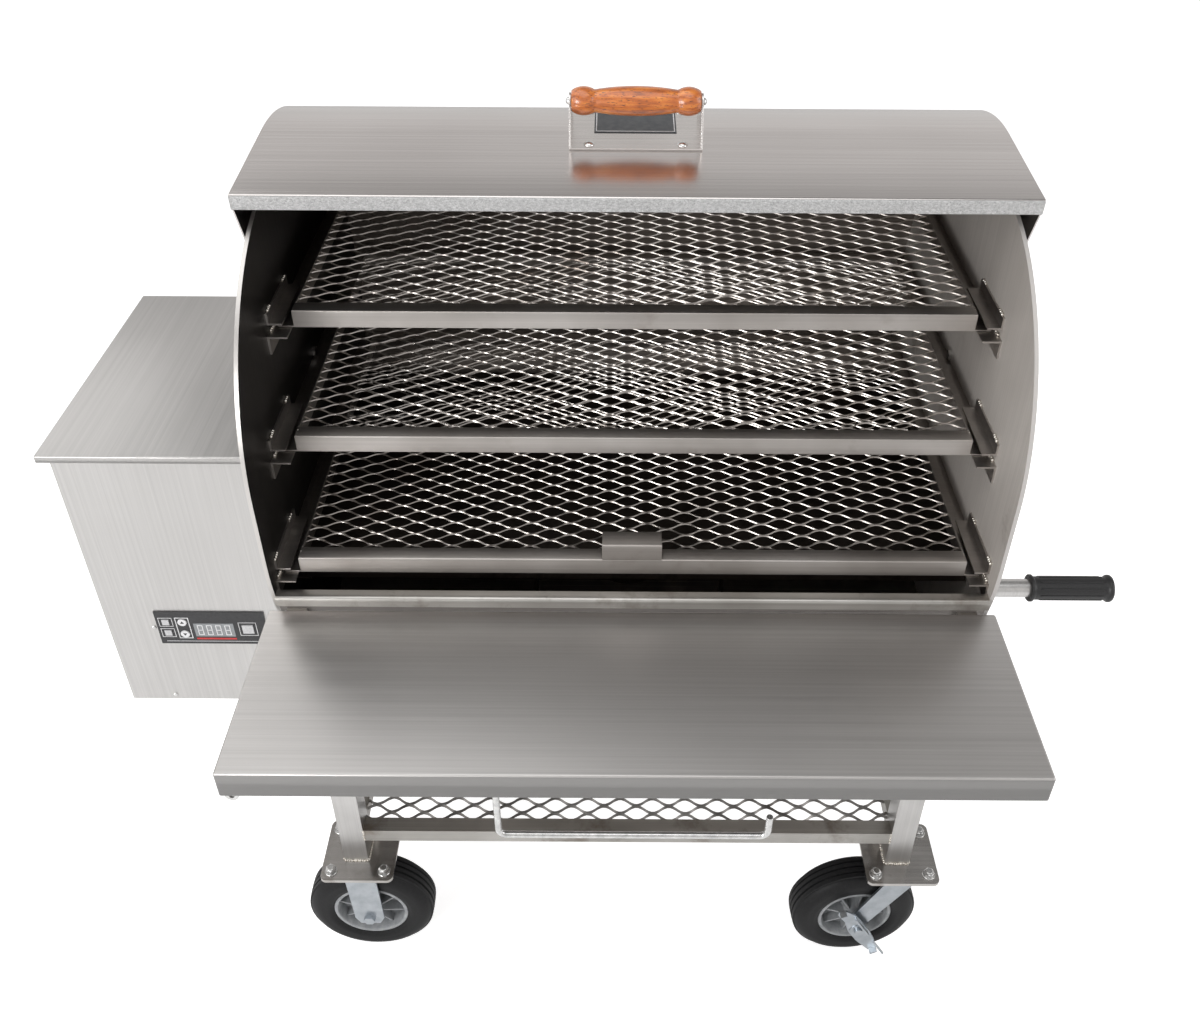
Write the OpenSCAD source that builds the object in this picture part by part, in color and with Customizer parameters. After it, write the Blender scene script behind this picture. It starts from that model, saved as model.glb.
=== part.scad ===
// Pellet-fired barrel grill with a roll-top lid, three slide-out racks, a side hopper and a cart.
// Millimetres. +X is to the right seen from the front, +Y is to the back, +Z is up, and the floor
// is z = 0. Shapes are drawn about the barrel's middle plane and lid pivot, then set on the origin.

/* [Barrel] */
// Width over the two end plates
barrel_w = 920; // [860:10:1000]
// Height of the lid's pivot above the floor
pivot_h = 940; // [920:5:980]
// Depth from the pivot to the flat front edge of the end plates
front_half = 344; // [338:1:348]
// Height from the pivot to the top of the end plates, and radius of their back
top_half = 336; // [332:1:338]
// Radius of the two front corners of the end plates
corner_r = 290; // [285:1:295]
// Thickness of an end plate
end_t = 5; // [4:0.5:6]
// Thickness of the rolled barrel sheet
shell_t = 2.5; // [2:0.5:3]

/* [Lid] */
// Angle that the lid has rolled back from closed
lid_open = 85; // [0:1:86]
// How far the lid's skin stands outside the end plates' outline
lid_gap = 28; // [26:0.5:30]
// Thickness of the lid's skin
lid_t = 2.5; // [2:0.5:3]
// Width over the lid's cheeks
lid_w = 950; // [944:2:954]

/* [Racks] */
// Width of a rack over its side rails
rack_w = 854; // [840:2:860]
// Height of a rack's frame
rack_h = 23.5; // [20:0.5:26]
// Distance from the pivot to each rack's front, top rack first
rack_front = [153, 232, 308];
// Height of each rack's top face above the pivot, top rack first
rack_top = [206.5, 71.5, -65];
// Depth of each rack, top rack first
rack_depth = [400, 520, 570];

/* [Front shelf] */
// Width of the front work shelf
shelf_w = 937; // [900:1:950]
// Depth of the front work shelf
shelf_d = 262; // [240:1:280]
// Height of the shelf's folded apron
apron_h = 37.5; // [30:0.5:45]

/* [Hopper] */
// Width of the hopper's body
hopper_w = 274; // [250:1:278]
// Depth of the hopper's body
hopper_d = 405; // [380:5:420]
// Height of the hopper's body
hopper_h = 459; // [440:1:470]

/* [Cart] */
// Side of the square leg tube
leg_w = 38; // [36:0.5:40]
// Distance between the left and right legs
leg_span_x = 866; // [840:2:870]
// Distance between the front and rear legs
leg_span_y = 588; // [560:2:600]
// Diameter of a wheel
wheel_d = 206; // [200:1:207]
// Width of a tyre
tyre_w = 60; // [50:1:62]
// Horizontal distance from a swivel's axis to its axle
swivel_trail = 59; // [40:1:62]
// Angle that the front swivel caster has turned
front_swivel = 4; // [0:1:40]
// Angle that the rear swivel caster has turned
rear_swivel = 4; // [0:1:40]

/* [Hidden] */

half_w = barrel_w / 2;
in_w = half_w - end_t;
corner_y = front_half - corner_r;
corner_z = top_half - corner_r;
big = 700;

// Roll-top opening of the fixed shell, as angles from straight back
open_back = 82;
sill_z = -101;
// Closed lid: its back edge as an angle from straight back, and its lip
lid_back = 68;
lip_z = -127;
lip_depth = 19;
gasket_t = 3;
cheek_t = 2;
pin_r = 6;

// Front shelf, relative to the pivot
shelf_top = -128.5;
shelf_back = -336;
shelf_front = shelf_back - shelf_d;
sheet_t = 2;

// Racks and runners
flange_w = 20;
runner_t = 2.5;
runner_leg = 25;
slide_gap = 0.4;
stop_len = 105;

// Hopper, relative to the pivot
hopper_right = -482;
hopper_left = hopper_right - hopper_w;
hopper_front = -217;
hopper_back = hopper_front + hopper_d;
hopper_top = 27;
hopper_bot = hopper_top - hopper_h;
hopper_t = 1.5;
hlid_over = 12;
hlid_rim = 10;
hinge_r = 4;
hinge_y = 196;
hinge_z = 22;
hinge_x0 = -740;
hinge_x1 = -493;
auger_z = -275;
auger_r = 30;
feed_x0 = -690;
feed_x1 = -560;

// Controller face
panel_x0 = -684;
panel_x1 = -526;
panel_z0 = -311;
panel_z1 = -248;
key_travel = 0.8;

// Cart, heights from the floor
leg_x = leg_span_x / 2;
leg_y = leg_span_y / 2;
wheel_r = wheel_d / 2;
plate_top = 236;
plate_t = 6;
caster_plate_t = 4;
plate_x = 115;
caster_dx = 5;
plate_y = 112;
bolt_x = 84;
bolt_y = 78;
rail_w = 25;
rail_top = 313;
axle_r = 6;
rigid_dx = 3.5;
fork_t = 4;
fork_gap = 4;
hub_ring = 62;
mesh_t = 3;

// Push handle, relative to the pivot
push_y = -235;
push_z = -176;
push_r = 12.7;
push_end = 663;
grip_x = 549;

// Origin: middle of the whole object's footprint
low_x = hopper_left - hlid_over;
high_x = push_end;
low_y = shelf_front;
high_y = top_half + lid_gap;
mid_x = (low_x + high_x) / 2;
mid_y = (low_y + high_y) / 2;

$fn = 64;

// ---- placing helpers -------------------------------------------------------

// Moves a shape drawn about the barrel's middle, with z from the floor, onto the origin
module placed() { translate([-mid_x, -mid_y, 0]) children(); }

// Moves a shape drawn about the lid's pivot onto the origin
module at_pivot() { placed() translate([0, 0, pivot_h]) children(); }

// Turns a shape drawn with the lid closed to the lid's resting angle
module on_lid() { at_pivot() rotate([-lid_open, 0, 0]) children(); }

// Extrudes a side outline (y to the right, z up) along X from x0 to x1
module along_x(x0, x1) {
    translate([x0, 0, 0]) rotate([90, 0, 90]) linear_extrude(x1 - x0) children();
}

// A block given by its two corners
module block(a, b) { translate(a) cube(b - a); }

// A round bar along X, from x0 to x1
module bar_x(x0, x1, r) { translate([x0, 0, 0]) rotate([0, 90, 0]) cylinder(h = x1 - x0, r = r); }

// A round bar along Y, from y0 to y1
module bar_y(y0, y1, r) { translate([0, y0, 0]) rotate([-90, 0, 0]) cylinder(h = y1 - y0, r = r); }

module mirror_x() {
    children();
    mirror([1, 0, 0]) children();
}

module mirror_y() {
    children();
    mirror([0, 1, 0]) children();
}

// A hexagon-headed screw: its shank, then its head, both along +Z from z = 0
module hex_screw(shank_r, shank_l, head_w, head_h) {
    translate([0, 0, -shank_l]) cylinder(h = shank_l, r = shank_r, $fn = 24);
    cylinder(h = head_h, r = head_w / 2 / cos(30), $fn = 6);
}

// ---- outlines --------------------------------------------------------------

// The barrel's side outline, grown by g: round back, flat front and two round front corners
module barrel_outline(g = 0) {
    circle(r = top_half + g, $fn = 128);
    for (s = [-1, 1])
        translate([-corner_y, s * corner_z]) circle(r = corner_r + g, $fn = 128);
    translate([-front_half - g, -corner_z]) square([corner_r + g, 2 * corner_z]);
    translate([-corner_y, -top_half - g]) square([corner_y, 2 * (top_half + g)]);
}

// The closed lid's side outline, grown by g: its flat front runs straight down past the lip
module lid_outline(g) {
    circle(r = top_half + g, $fn = 128);
    translate([-corner_y, corner_z]) circle(r = corner_r + g, $fn = 128);
    translate([-front_half - g, lip_z - 20]) square([corner_r + g, corner_z - lip_z + 20]);
    translate([-corner_y, 0]) square([corner_y, top_half + g]);
}

// The part of the side view that the closed lid covers, with its front edge at height z
module lid_sector(z) {
    tip = front_half + lid_gap - lip_depth;
    polygon([[0, 0], [-tip, z], [-big, z], [-big, big], [big * cos(lid_back), big],
        [big * cos(lid_back), big * sin(lid_back)]]);
}

// Diamond-shaped holes in rows, as in expanded metal, over a width and a depth
module diamonds(w, d, pitch_x, pitch_y, strand) {
    nx = floor(w / pitch_x);
    ny = floor(d / pitch_y);
    for (i = [0 : nx - 1], j = [0 : ny - 1])
        translate([(i - (nx - 1) / 2) * pitch_x, (j + 0.5) * pitch_y + (d - ny * pitch_y) / 2])
            polygon([[-pitch_x / 2 + strand, 0], [0, -pitch_y / 2 + strand],
                [pitch_x / 2 - strand, 0], [0, pitch_y / 2 - strand]]);
}

// ---- barrel ----------------------------------------------------------------

// An end plate, with its pivot bore and its middle bolt hole
module end_plate() {
    difference() {
        along_x(in_w, half_w) barrel_outline();
        bar_x(in_w - 1, half_w + 1, pin_r + 0.05);
        translate([0, 0, 56]) bar_x(in_w - 1, half_w + 1, 4.05);
        children();
    }
}

module left_end_plate() {
    color("darkgray") at_pivot() mirror([1, 0, 0]) end_plate() {
        translate([0, 0, auger_z]) bar_x(in_w - 1, half_w + 1, auger_r + 0.1);
        translate([0, 40, -305]) bar_x(in_w - 1, half_w + 1, 5.1);
        translate([0, 100, -124]) bar_x(in_w - 1, half_w + 1, 3.1);
        translate([0, 110, -245]) bar_x(in_w - 1, half_w + 1, 25);
    }
}

module right_end_plate() { color("silver") at_pivot() end_plate(); }

module barrel_shell() {
    color("gray") at_pivot() difference() {
        along_x(-in_w, in_w) difference() {
            barrel_outline();
            barrel_outline(-shell_t);
            polygon([[0, sill_z - 14], [-big, sill_z - 14], [-big, big], [big * cos(open_back), big],
                [big * cos(open_back), big * sin(open_back)], [0, 0]]);
        }
        translate([380, 0, -top_half - 5]) cylinder(h = 10, r = 12.2);
        block([-125, 240, -225], [125, 340, -195]);
    }
}

// Folded angle along the bottom of the mouth
module front_sill() {
    color("silver") at_pivot() along_x(-in_w, in_w) difference() {
        union() {
            translate([-front_half, sill_z - 14]) square([16, 10]);
            translate([-front_half + 4, sill_z - 14]) square([12, 14]);
            translate([-front_half + 4, sill_z - 4]) circle(r = 4, $fn = 32);
        }
        translate([-front_half + 2.5, sill_z - 15]) square([20, 12.5]);
    }
}

// One welded runner angle with its leg turned down, and the short angle that stops a rack tipping
module runner(z, y0, y1) {
    block([in_w - runner_leg, y0, z - runner_t], [in_w, y1, z]);
    block([in_w - runner_t, y0, z - runner_leg], [in_w, y1, z - runner_t]);
    block([in_w - 19, y0 + 8, z + 12], [in_w, y0 + 8 + stop_len, z + 12 + runner_t]);
    block([in_w - runner_t, y0 + 8, z + 12 + runner_t], [in_w, y0 + 8 + stop_len, z + 28]);
}

module rack_runners() {
    color("dimgray") at_pivot() mirror_x() {
        for (i = [0 : 2])
            runner(rack_top[i] - rack_h - slide_gap, -rack_front[i] - (i == 2 ? 17 : 24),
                rack_depth[i] - rack_front[i] + 4);
        block([in_w - 20, -250, -153], [in_w, 250, -150.5]);
    }
}

// Grease pan above the fire, with its drain pipe through the bottom of the barrel
module drip_pan() {
    color("dimgray") at_pivot() difference() {
        union() {
            block([-in_w + 2, -250, -150], [in_w - 2, 250, -148]);
            mirror_y() block([-in_w + 2, -250, -148], [in_w - 2, -248, -136]);
            mirror_x() block([in_w - 4, -248, -148], [in_w - 2, 248, -136]);
            translate([380, 0, -385]) cylinder(h = 236, r = 12);
        }
        translate([380, 0, -390]) cylinder(h = 260, r = 10.5);
    }
}

module heat_baffle() {
    color("dimgray") at_pivot() intersection() {
        union() {
            block([-150, -120, -190], [150, 120, -187]);
            mirror_x() mirror_y() block([140, -115, -334], [143, -85, -190]);
        }
        along_x(-160, 160) barrel_outline(-shell_t - 0.05);
    }
}

// Open-topped steel pot in which the pellets burn
module fire_pot() {
    color("dimgray") at_pivot() difference() {
        intersection() {
            translate([0, 0, -334]) cylinder(h = 116, r = 60);
            along_x(-70, 70) barrel_outline(-shell_t - 0.05);
        }
        translate([0, 0, -324]) cylinder(h = 112, r = 57);
        translate([0, 0, auger_z]) bar_x(-70, 0, auger_r + 0.3);
        translate([0, 40, -305]) bar_x(-70, 0, 5.3);
        for (a = [20 : 40 : 340])
            rotate([0, 0, a]) translate([0, 0, -312]) bar_x(40, 70, 4, $fn = 16);
    }
}

module auger_tube() {
    color("gray") at_pivot() translate([0, 0, auger_z]) difference() {
        bar_x(-708, -52, auger_r);
        bar_x(-706, -51, auger_r - 2);
        bar_x(-709, -705, 9.1);
        block([feed_x0, -22, 0], [feed_x1, 22, auger_r + 1]);
    }
}

module igniter_rod() { color("gray") at_pivot() translate([0, 40, -305]) bar_x(-520, -40, 5); }

module temperature_probe() {
    color("silver") at_pivot() translate([0, 100, -124]) {
        bar_x(-478, -355, 3);
        bar_x(-455, -449, 6);
    }
}

// Hooded smoke outlet low on the barrel's back
module rear_vent() {
    color("gray") at_pivot() difference() {
        block([-150, 230, -235], [150, 330, -180]);
        block([-148, 230, -240], [148, 328, -182]);
        along_x(-160, 160) barrel_outline(0.2);
    }
}

// Stub pins and bushes that carry the lid, and the two bolts above them
module lid_pivot_pins() {
    color("lightgray") at_pivot() mirror_x() {
        bar_x(in_w, lid_w / 2 + 0.6, pin_r);
        bar_x(lid_w / 2 + 0.6, lid_w / 2 + 4.6, 11);
        difference() {
            bar_x(half_w, lid_w / 2 - cheek_t - 0.5, 13);
            bar_x(half_w - 1, lid_w / 2, pin_r);
        }
        translate([0, 0, 56]) {
            bar_x(in_w, half_w, 4);
            translate([in_w - 5, 0, 0]) rotate([0, 90, 0]) cylinder(h = 5, r = 7.5, $fn = 6);
        }
    }
}

// ---- hopper ----------------------------------------------------------------

module hopper_body() {
    color("silver") at_pivot() difference() {
        union() {
            block([hopper_left, hopper_front, hopper_bot], [hopper_right, hopper_back, hopper_top]);
            block([hopper_right, -150, -400], [-half_w, 150, -95]);
            for (x = [hinge_x0 - 5, hinge_x1 + 1])
                block([x, hopper_back, hinge_z - 5], [x + 4, hinge_y + 3, hinge_z + 3]);
            translate([0, hinge_y, hinge_z]) bar_x(hinge_x0 - 3, hinge_x1 + 3, 2.5);
        }
        block([hopper_left + hopper_t, hopper_front + hopper_t, hopper_bot + hopper_t],
            [hopper_right - hopper_t, hopper_back - hopper_t, hopper_top + 1]);
        block([hopper_right - 5, -148, -398], [-half_w + 1, 148, -97]);
        for (k = keys()) translate([k[0], 0, k[1]]) key_hole(k);
        block([-625, hopper_back - 5, -401], [-577, hopper_back + 5, -373]);
        translate([-616, 0, hopper_bot - 1]) cylinder(h = 5, r = 40);
    }
}

// Sheet funnel that feeds the auger
module pellet_chute() {
    x0 = hopper_left + hopper_t + 0.2;
    x1 = hopper_right - hopper_t - 0.2;
    y0 = hopper_front + hopper_t + 0.2;
    y1 = hopper_back - hopper_t - 0.2;
    color("gray") at_pivot() difference() {
        hull() {
            block([x0, y0, -62], [x1, y1, -60]);
            block([feed_x0 - 2, -24, -258], [feed_x1 + 2, 24, -256]);
        }
        hull() {
            block([x0 + 2, y0 + 2, -60.5], [x1 - 2, y1 - 2, -59]);
            block([feed_x0, -22, -259], [feed_x1, 22, -257]);
        }
        translate([0, 0, auger_z]) bar_x(feed_x0 - 20, feed_x1 + 20, auger_r + 0.1);
    }
}

// Each key: x, z, half width, half height, and whether it is round
function keys() = [[-670, -268, 5, 5, false], [-670, -289, 5, 5, false], [-646, -268, 6.5, 6.5, true],
    [-646, -291, 6.5, 6.5, true], [-553, -281, 8, 8, false]];

// The hole for a key through the controller's face and the hopper's front
module key_hole(k) {
    if (k[4]) bar_y(hopper_front - 3, hopper_front + 3, k[2] + 0.4);
    else block([-k[2] - 0.4, hopper_front - 3, -k[3] - 0.4], [k[2] + 0.4, hopper_front + 3, k[3] + 0.4]);
}

module key_cap(i) {
    k = keys()[i];
    color("white") at_pivot() translate([k[0], 0, k[1]])
        if (k[4]) {
            bar_y(hopper_front - 3.2, hopper_front + 2, k[2]);
            bar_y(hopper_front + 2, hopper_front + 3.5, k[2] + 1.5);
        } else {
            block([-k[2], hopper_front - 3.2, -k[3]], [k[2], hopper_front + 2, k[3]]);
            block([-k[2] - 1.5, hopper_front + 2, -k[3] - 1.5],
                [k[2] + 1.5, hopper_front + 3.5, k[3] + 1.5]);
        }
}

// Black controller face on the front, and the box of electronics behind it
module controller_panel() {
    color("black") at_pivot() difference() {
        union() {
            block([panel_x0, hopper_front - 2, panel_z0], [panel_x1, hopper_front, panel_z1]);
            block([panel_x0 + 8, hopper_front + 6, panel_z0 + 4],
                [panel_x1 - 8, hopper_front + 40, panel_z1 - 4]);
        }
        for (k = keys()) translate([k[0], 0, k[1]]) key_hole(k);
    }
}

module auger_motor() {
    color("dimgray") at_pivot() difference() {
        block([-748, -35, -315], [-712, 35, -235]);
        translate([0, 0, auger_z]) bar_x(-725, -711, 8.1);
    }
}

// Blower case and its duct into the barrel
module fan_housing() {
    color("dimgray") at_pivot() translate([0, 110, -345]) difference() {
        union() {
            bar_x(-550, -505, 58);
            translate([0, 0, 100]) bar_x(-505, -half_w + 4, 22);
            block([-550, -22, 0], [-505, 22, 122]);
            bar_x(-505, -487, 20);
        }
        bar_x(-548, -507, 55);
        block([-548, -20, 0], [-507, 20, 120]);
        translate([0, 0, 100]) bar_x(-508, -half_w + 5, 20);
        bar_x(-551, -547, 30);
        bar_x(-508, -496, 4.1);
    }
}

module fan_wheel() {
    color("black") at_pivot() translate([0, 110, -345]) {
        bar_x(-545, -530, 14);
        bar_x(-530, -497, 4);
        for (a = [0 : 45 : 315])
            rotate([a, 0, 0]) block([-544, -1, 12], [-520, 1, 48]);
        difference() {
            bar_x(-530, -528, 48);
            bar_x(-531, -527, 3.9);
        }
    }
}

module power_inlet() {
    color("black") at_pivot() difference() {
        union() {
            block([-624.8, hopper_back - 18, -400.8], [-577.2, hopper_back, -373.2]);
            block([-631, hopper_back, -404], [-571, hopper_back + 3, -370]);
        }
        block([-616, hopper_back - 15, -396], [-586, hopper_back + 4, -378]);
    }
}

// Screws that hold the hopper's front and side
module panel_screws() {
    color("lightgray") at_pivot() {
        for (x = [-690, -518], z = [-280, -422])
            translate([x, hopper_front, z]) rotate([90, 0, 0]) cylinder(h = 3, r = 4, $fn = 24);
        for (z = [-130, -380])
            translate([hopper_left, -205, z]) rotate([0, -90, 0]) cylinder(h = 3, r = 4, $fn = 24);
    }
}

// Flat hopper cover with turned-down edges
module hopper_lid() {
    color("silver") at_pivot() difference() {
        union() {
            block([low_x, hopper_front - hlid_over, hopper_top + 0.5],
                [hopper_right, hopper_back + hlid_over, hopper_top + 8]);
            translate([0, hinge_y, hinge_z]) bar_x(hinge_x0, hinge_x1, hinge_r);
            block([hinge_x0, hinge_y, hinge_z], [hinge_x1, hinge_y + 4, hopper_top + 1]);
            difference() {
                block([low_x, hopper_front - hlid_over, hopper_top + 8 - hlid_rim],
                    [hopper_right, hopper_back + hlid_over, hopper_top + 1]);
                block([hopper_left - 1, hopper_front - 1, hopper_top - 10],
                    [hopper_right + 1, hopper_back + hlid_over + 1, hopper_top + 0.5]);
            }
        }
        block([hopper_left, hopper_front, hopper_top],
            [hopper_right - 2, hopper_back + 5, hopper_top + 6.5]);
        translate([0, hinge_y, hinge_z]) bar_x(hinge_x0 - 1, hinge_x1 + 1, 2.55);
    }
}

// ---- fire feed -------------------------------------------------------------

// Feed screw: a round shaft with a single helical flight
module auger_screw() {
    pitch = 48;
    turns = 12;
    color("gray") at_pivot() translate([0, 0, auger_z]) {
        bar_x(-722, -60, 7.9);
        translate([-700, 0, 0]) rotate([0, 90, 0]) linear_extrude(pitch * turns, twist = 360 * turns,
            slices = 12 * turns, $fn = 4) translate([7, -1.5]) square([19, 3]);
    }
}

// ---- front -----------------------------------------------------------------

// Folded work shelf with a round-ended bottle opener tab below its left front corner
module front_shelf() {
    w = shelf_w / 2;
    z0 = shelf_top - apron_h;
    color("silver") at_pivot() {
        block([-w, shelf_front, shelf_top - sheet_t], [w, shelf_back, shelf_top]);
        block([-w, shelf_front, z0], [w, shelf_front + sheet_t, shelf_top - sheet_t]);
        mirror_x() block([w - sheet_t, shelf_front + sheet_t, z0], [w, shelf_back, shelf_top - sheet_t]);
        difference() {
            translate([-w + 14, 0, z0 - 3]) bar_y(shelf_front + sheet_t, shelf_front + 5, 8);
            translate([-w + 14, 0, z0 - 4]) bar_y(shelf_front, shelf_front + 8, 3.5);
        }
    }
}

// Square arms from the front legs under the shelf
module shelf_arms() {
    color("gray") at_pivot() difference() {
        mirror_x() block([leg_x - 12.5, shelf_front + 20, shelf_top - 28],
            [leg_x + 12.5, -leg_y, shelf_top - sheet_t]);
        along_x(-half_w, half_w) barrel_outline(0.1);
    }
}

// Bent rod under the shelf: down, across to the right, and up to an open end
module towel_holder() {
    r = 4;
    y = shelf_front + 8;
    zr = -245;
    bend = 10;
    color("silver") at_pivot() {
        translate([-157, y, zr + bend]) cylinder(h = shelf_top - sheet_t - zr - bend, r = r, $fn = 32);
        translate([158, y, zr + bend]) cylinder(h = 28, r = r, $fn = 32);
        translate([0, y, zr]) bar_x(-157 + bend, 158 - bend, r, $fn = 32);
        translate([-157 + bend, y, zr + bend]) rotate([90, 0, 0]) rotate([0, 0, 180])
            rotate_extrude(angle = 90, $fn = 48) translate([bend, 0]) circle(r = r, $fn = 32);
        translate([158 - bend, y, zr + bend]) rotate([90, 0, 0]) rotate([0, 0, 270])
            rotate_extrude(angle = 90, $fn = 48) translate([bend, 0]) circle(r = r, $fn = 32);
    }
}

// ---- cart ------------------------------------------------------------------

module square_tube(a, b, t) {
    difference() {
        block(a, b);
        block(a + [t, t, -1], b + [-t, -t, 1]);
    }
}

// Four square legs, coped to the barrel's underside
module cart_legs() {
    h = leg_w / 2;
    color("silver") difference() {
        placed() mirror_x() mirror_y() translate([leg_x, leg_y, 0])
            square_tube([-h, -h, plate_top], [h, h, pivot_h - 130], 2);
        at_pivot() along_x(-half_w, half_w) barrel_outline(0.1);
    }
}

module cart_rails() {
    h = leg_w / 2;
    color("silver") placed() {
        mirror_y() block([-leg_x + h, -leg_y - h, rail_top - rail_w],
            [leg_x - h, -leg_y - h + rail_w, rail_top]);
        mirror_x() block([leg_x - h, -leg_y + h, rail_top - rail_w],
            [leg_x - h + rail_w, leg_y - h, rail_top]);
    }
}

// Expanded-metal floor of the cart, between its rails
module lower_shelf_mesh() {
    w = leg_span_x - leg_w;
    d = leg_span_y + leg_w - 2 * rail_w;
    color("gray") placed() translate([0, -d / 2, rail_top - 8]) linear_extrude(mesh_t) difference() {
        translate([-w / 2, 0]) square([w, d]);
        diamonds(w - 8, d - 8, 103, 60, 5);
    }
}

module rounded_plate(w, d, r, t) {
    linear_extrude(t) difference() {
        square([w, d], center = true);
        for (sx = [-1, 1], sy = [-1, 1]) translate([sx * w / 2, sy * d / 2]) difference() {
            square(2 * r, center = true);
            translate([-sx * r, -sy * r]) circle(r = r);
        }
    }
}

module bolt_holes(r, h) {
    for (sx = [-1, 1], sy = [-1, 1])
        translate([sx * bolt_x / 2, sy * bolt_y / 2, -1]) cylinder(h = h + 2, r = r, $fn = 32);
}

module at_caster(sx, sy) { placed() translate([sx * leg_x + caster_dx, sy * leg_y, 0]) children(); }

module at_each_caster() {
    for (sx = [-1, 1], sy = [-1, 1]) at_caster(sx, sy) children();
}

module caster_plates() {
    color("silver") at_each_caster() translate([0, 0, plate_top - plate_t]) difference() {
        rounded_plate(plate_x, plate_y, 10, plate_t);
        bolt_holes(5.5, plate_t);
    }
}

// Hexagon bolts through the leg plates and the casters' own plates
module caster_bolts() {
    color("lightgray") at_each_caster()
        for (sx = [-1, 1], sy = [-1, 1]) translate([sx * bolt_x / 2, sy * bolt_y / 2, plate_top])
            hex_screw(5, plate_t + caster_plate_t + 4, 15, 7);
}

// The wheel's local frame: axle along Y at the origin
module tyre_shape() {
    w = tyre_w / 2;
    rotate([90, 0, 0]) rotate_extrude($fn = 96) difference() {
        union() {
            translate([hub_ring - 2, -w + 4]) square([12, tyre_w - 8]);
            translate([70, -w]) square([wheel_r - 82, tyre_w]);
            translate([wheel_r - 14, -w + 12]) square([14, tyre_w - 24]);
            for (s = [-1, 1]) translate([wheel_r - 12, s * (w - 12)]) circle(r = 12, $fn = 48);
        }
        translate([0, -w]) square([hub_ring, tyre_w]);
        for (z = [-15, -5, 5, 15]) translate([wheel_r - 1.5, z - 1]) square([3, 2]);
    }
}

module hub_shape() {
    w = tyre_w / 2;
    difference() {
        union() {
            rotate([90, 0, 0]) rotate_extrude($fn = 96) difference() {
                translate([54, -w + 5]) square([8, tyre_w - 10]);
                translate([53, 8]) square([4, 20]);
                translate([53, -28]) square([4, 20]);
            }
            bar_y(-w - 1, w + 1, 17);
            bar_y(-1.5, 1.5, 55);
            for (a = [0 : 45 : 315]) rotate([0, a, 0]) block([15, -14, -1.5], [55, 14, 1.5]);
        }
        bar_y(-w - 2, w + 2, axle_r + 0.05);
    }
}

// One strap-shaped fork leg in the XZ plane, from the crown at (0, top) to the axle at (ax, az);
// its lower corners are cut off
module fork_leg(ax, az, top, w_top, w_end) {
    h = w_end / 2;
    rotate([90, 0, 0]) translate([0, 0, -fork_t / 2]) linear_extrude(fork_t)
        polygon([[-w_top / 2, top], [w_top / 2, top], [ax + h, az], [ax + h - 8, az - 15],
            [ax - h + 8, az - 15], [ax - h, az]]);
}

leg_off = tyre_w / 2 + fork_gap + fork_t / 2;
caster_top = plate_top - plate_t;
axle_z = wheel_r;

// A fork with both legs, its axle bolt and its top plate; ax is the axle's offset along X
module fork_body(ax, crown_z, w_end) {
    mirror_y() translate([0, leg_off, 0]) difference() {
        fork_leg(ax, axle_z, crown_z, 50, w_end);
        translate([ax, 0, axle_z]) bar_y(-fork_t, fork_t, axle_r);
    }
    block([-30, -leg_off - fork_t / 2, crown_z], [30, leg_off + fork_t / 2, crown_z + fork_t]);
    translate([ax, 0, axle_z]) bar_y(-leg_off - fork_t / 2, leg_off + fork_t / 2, axle_r);
    mirror_y() translate([ax, leg_off + fork_t / 2, axle_z]) rotate([-90, 0, 0])
        cylinder(h = 7, r = 9.5, $fn = 6);
}

module caster_own_plate() {
    translate([0, 0, caster_top - caster_plate_t]) difference() {
        rounded_plate(plate_x - 10, plate_y - 10, 8, caster_plate_t);
        bolt_holes(5.5, caster_plate_t);
    }
}

module rigid_forks() {
    color("lightsteelblue") for (sy = [-1, 1]) at_caster(-1, sy) {
        caster_own_plate();
        fork_body(rigid_dx, caster_top - caster_plate_t - fork_t, 48);
    }
}

// The swivel caster's frame: drawn with the wheel trailing to -X, then turned by a
module swivel(sy, a) { at_caster(1, sy) rotate([0, 0, a]) children(); }

swivel_crown = caster_top - caster_plate_t - 16;

// Fork, crown and lower race of a swivel caster
module swivel_fork(sy, a) {
    color("lightsteelblue") swivel(sy, a) {
        fork_body(-swivel_trail, swivel_crown, 38);
        translate([0, 0, swivel_crown + fork_t]) cylinder(h = 4, r = 33);
        translate([0, 0, swivel_crown + fork_t + 4]) cylinder(h = 6, r = 7.9);
    }
}

// Fixed halves of the swivel casters: plate, upper race and king-pin bush
module swivel_heads() {
    color("lightsteelblue") for (sy = [-1, 1]) at_caster(1, sy) {
        caster_own_plate();
        translate([0, 0, caster_top - caster_plate_t - 7.5]) difference() {
            cylinder(h = 7.5, r = 36);
            translate([0, 0, -1]) cylinder(h = 8, r = 7.95);
        }
    }
}

// Wing-shaped brake lever on the axle's outer end, with its thin pin
module brake_lever(sy, a) {
    y0 = -leg_off - fork_t / 2 - 14;
    color("lightgray") swivel(sy, a) translate([-swivel_trail, 0, axle_z]) difference() {
        union() {
            bar_y(y0, y0 + 5, 15);
            rotate([0, 60, 0]) {
                translate([0, y0 + 4, 0]) rotate([90, 0, 0]) linear_extrude(3) polygon([[-66, -6],
                    [-60, -10], [-34, -9], [-8, -15], [26, -15], [64, -9], [66, 6], [40, 12],
                    [14, 15], [-40, 13], [-62, 5]]);
                block([-40, y0 - 7, 10], [12, y0 + 1.5, 13]);
                block([-65, y0 - 9, -5.5], [-62, y0 + 1.5, 5]);
                block([62.5, y0 - 8, -7], [65.5, y0 + 1.5, 5.5]);
                block([44, y0 - 2, 7], [88, y0 + 1.5, 10]);
            }
        }
        bar_y(y0 - 1, y0 + 6, 7.05);
    }
}

// Short stub on the axle's end that carries the brake lever
module brake_stub(sy, a) {
    color("lightgray") swivel(sy, a) translate([-swivel_trail, 0, axle_z])
        bar_y(-leg_off - fork_t / 2 - 18, -leg_off - fork_t / 2, 7);
}

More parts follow.
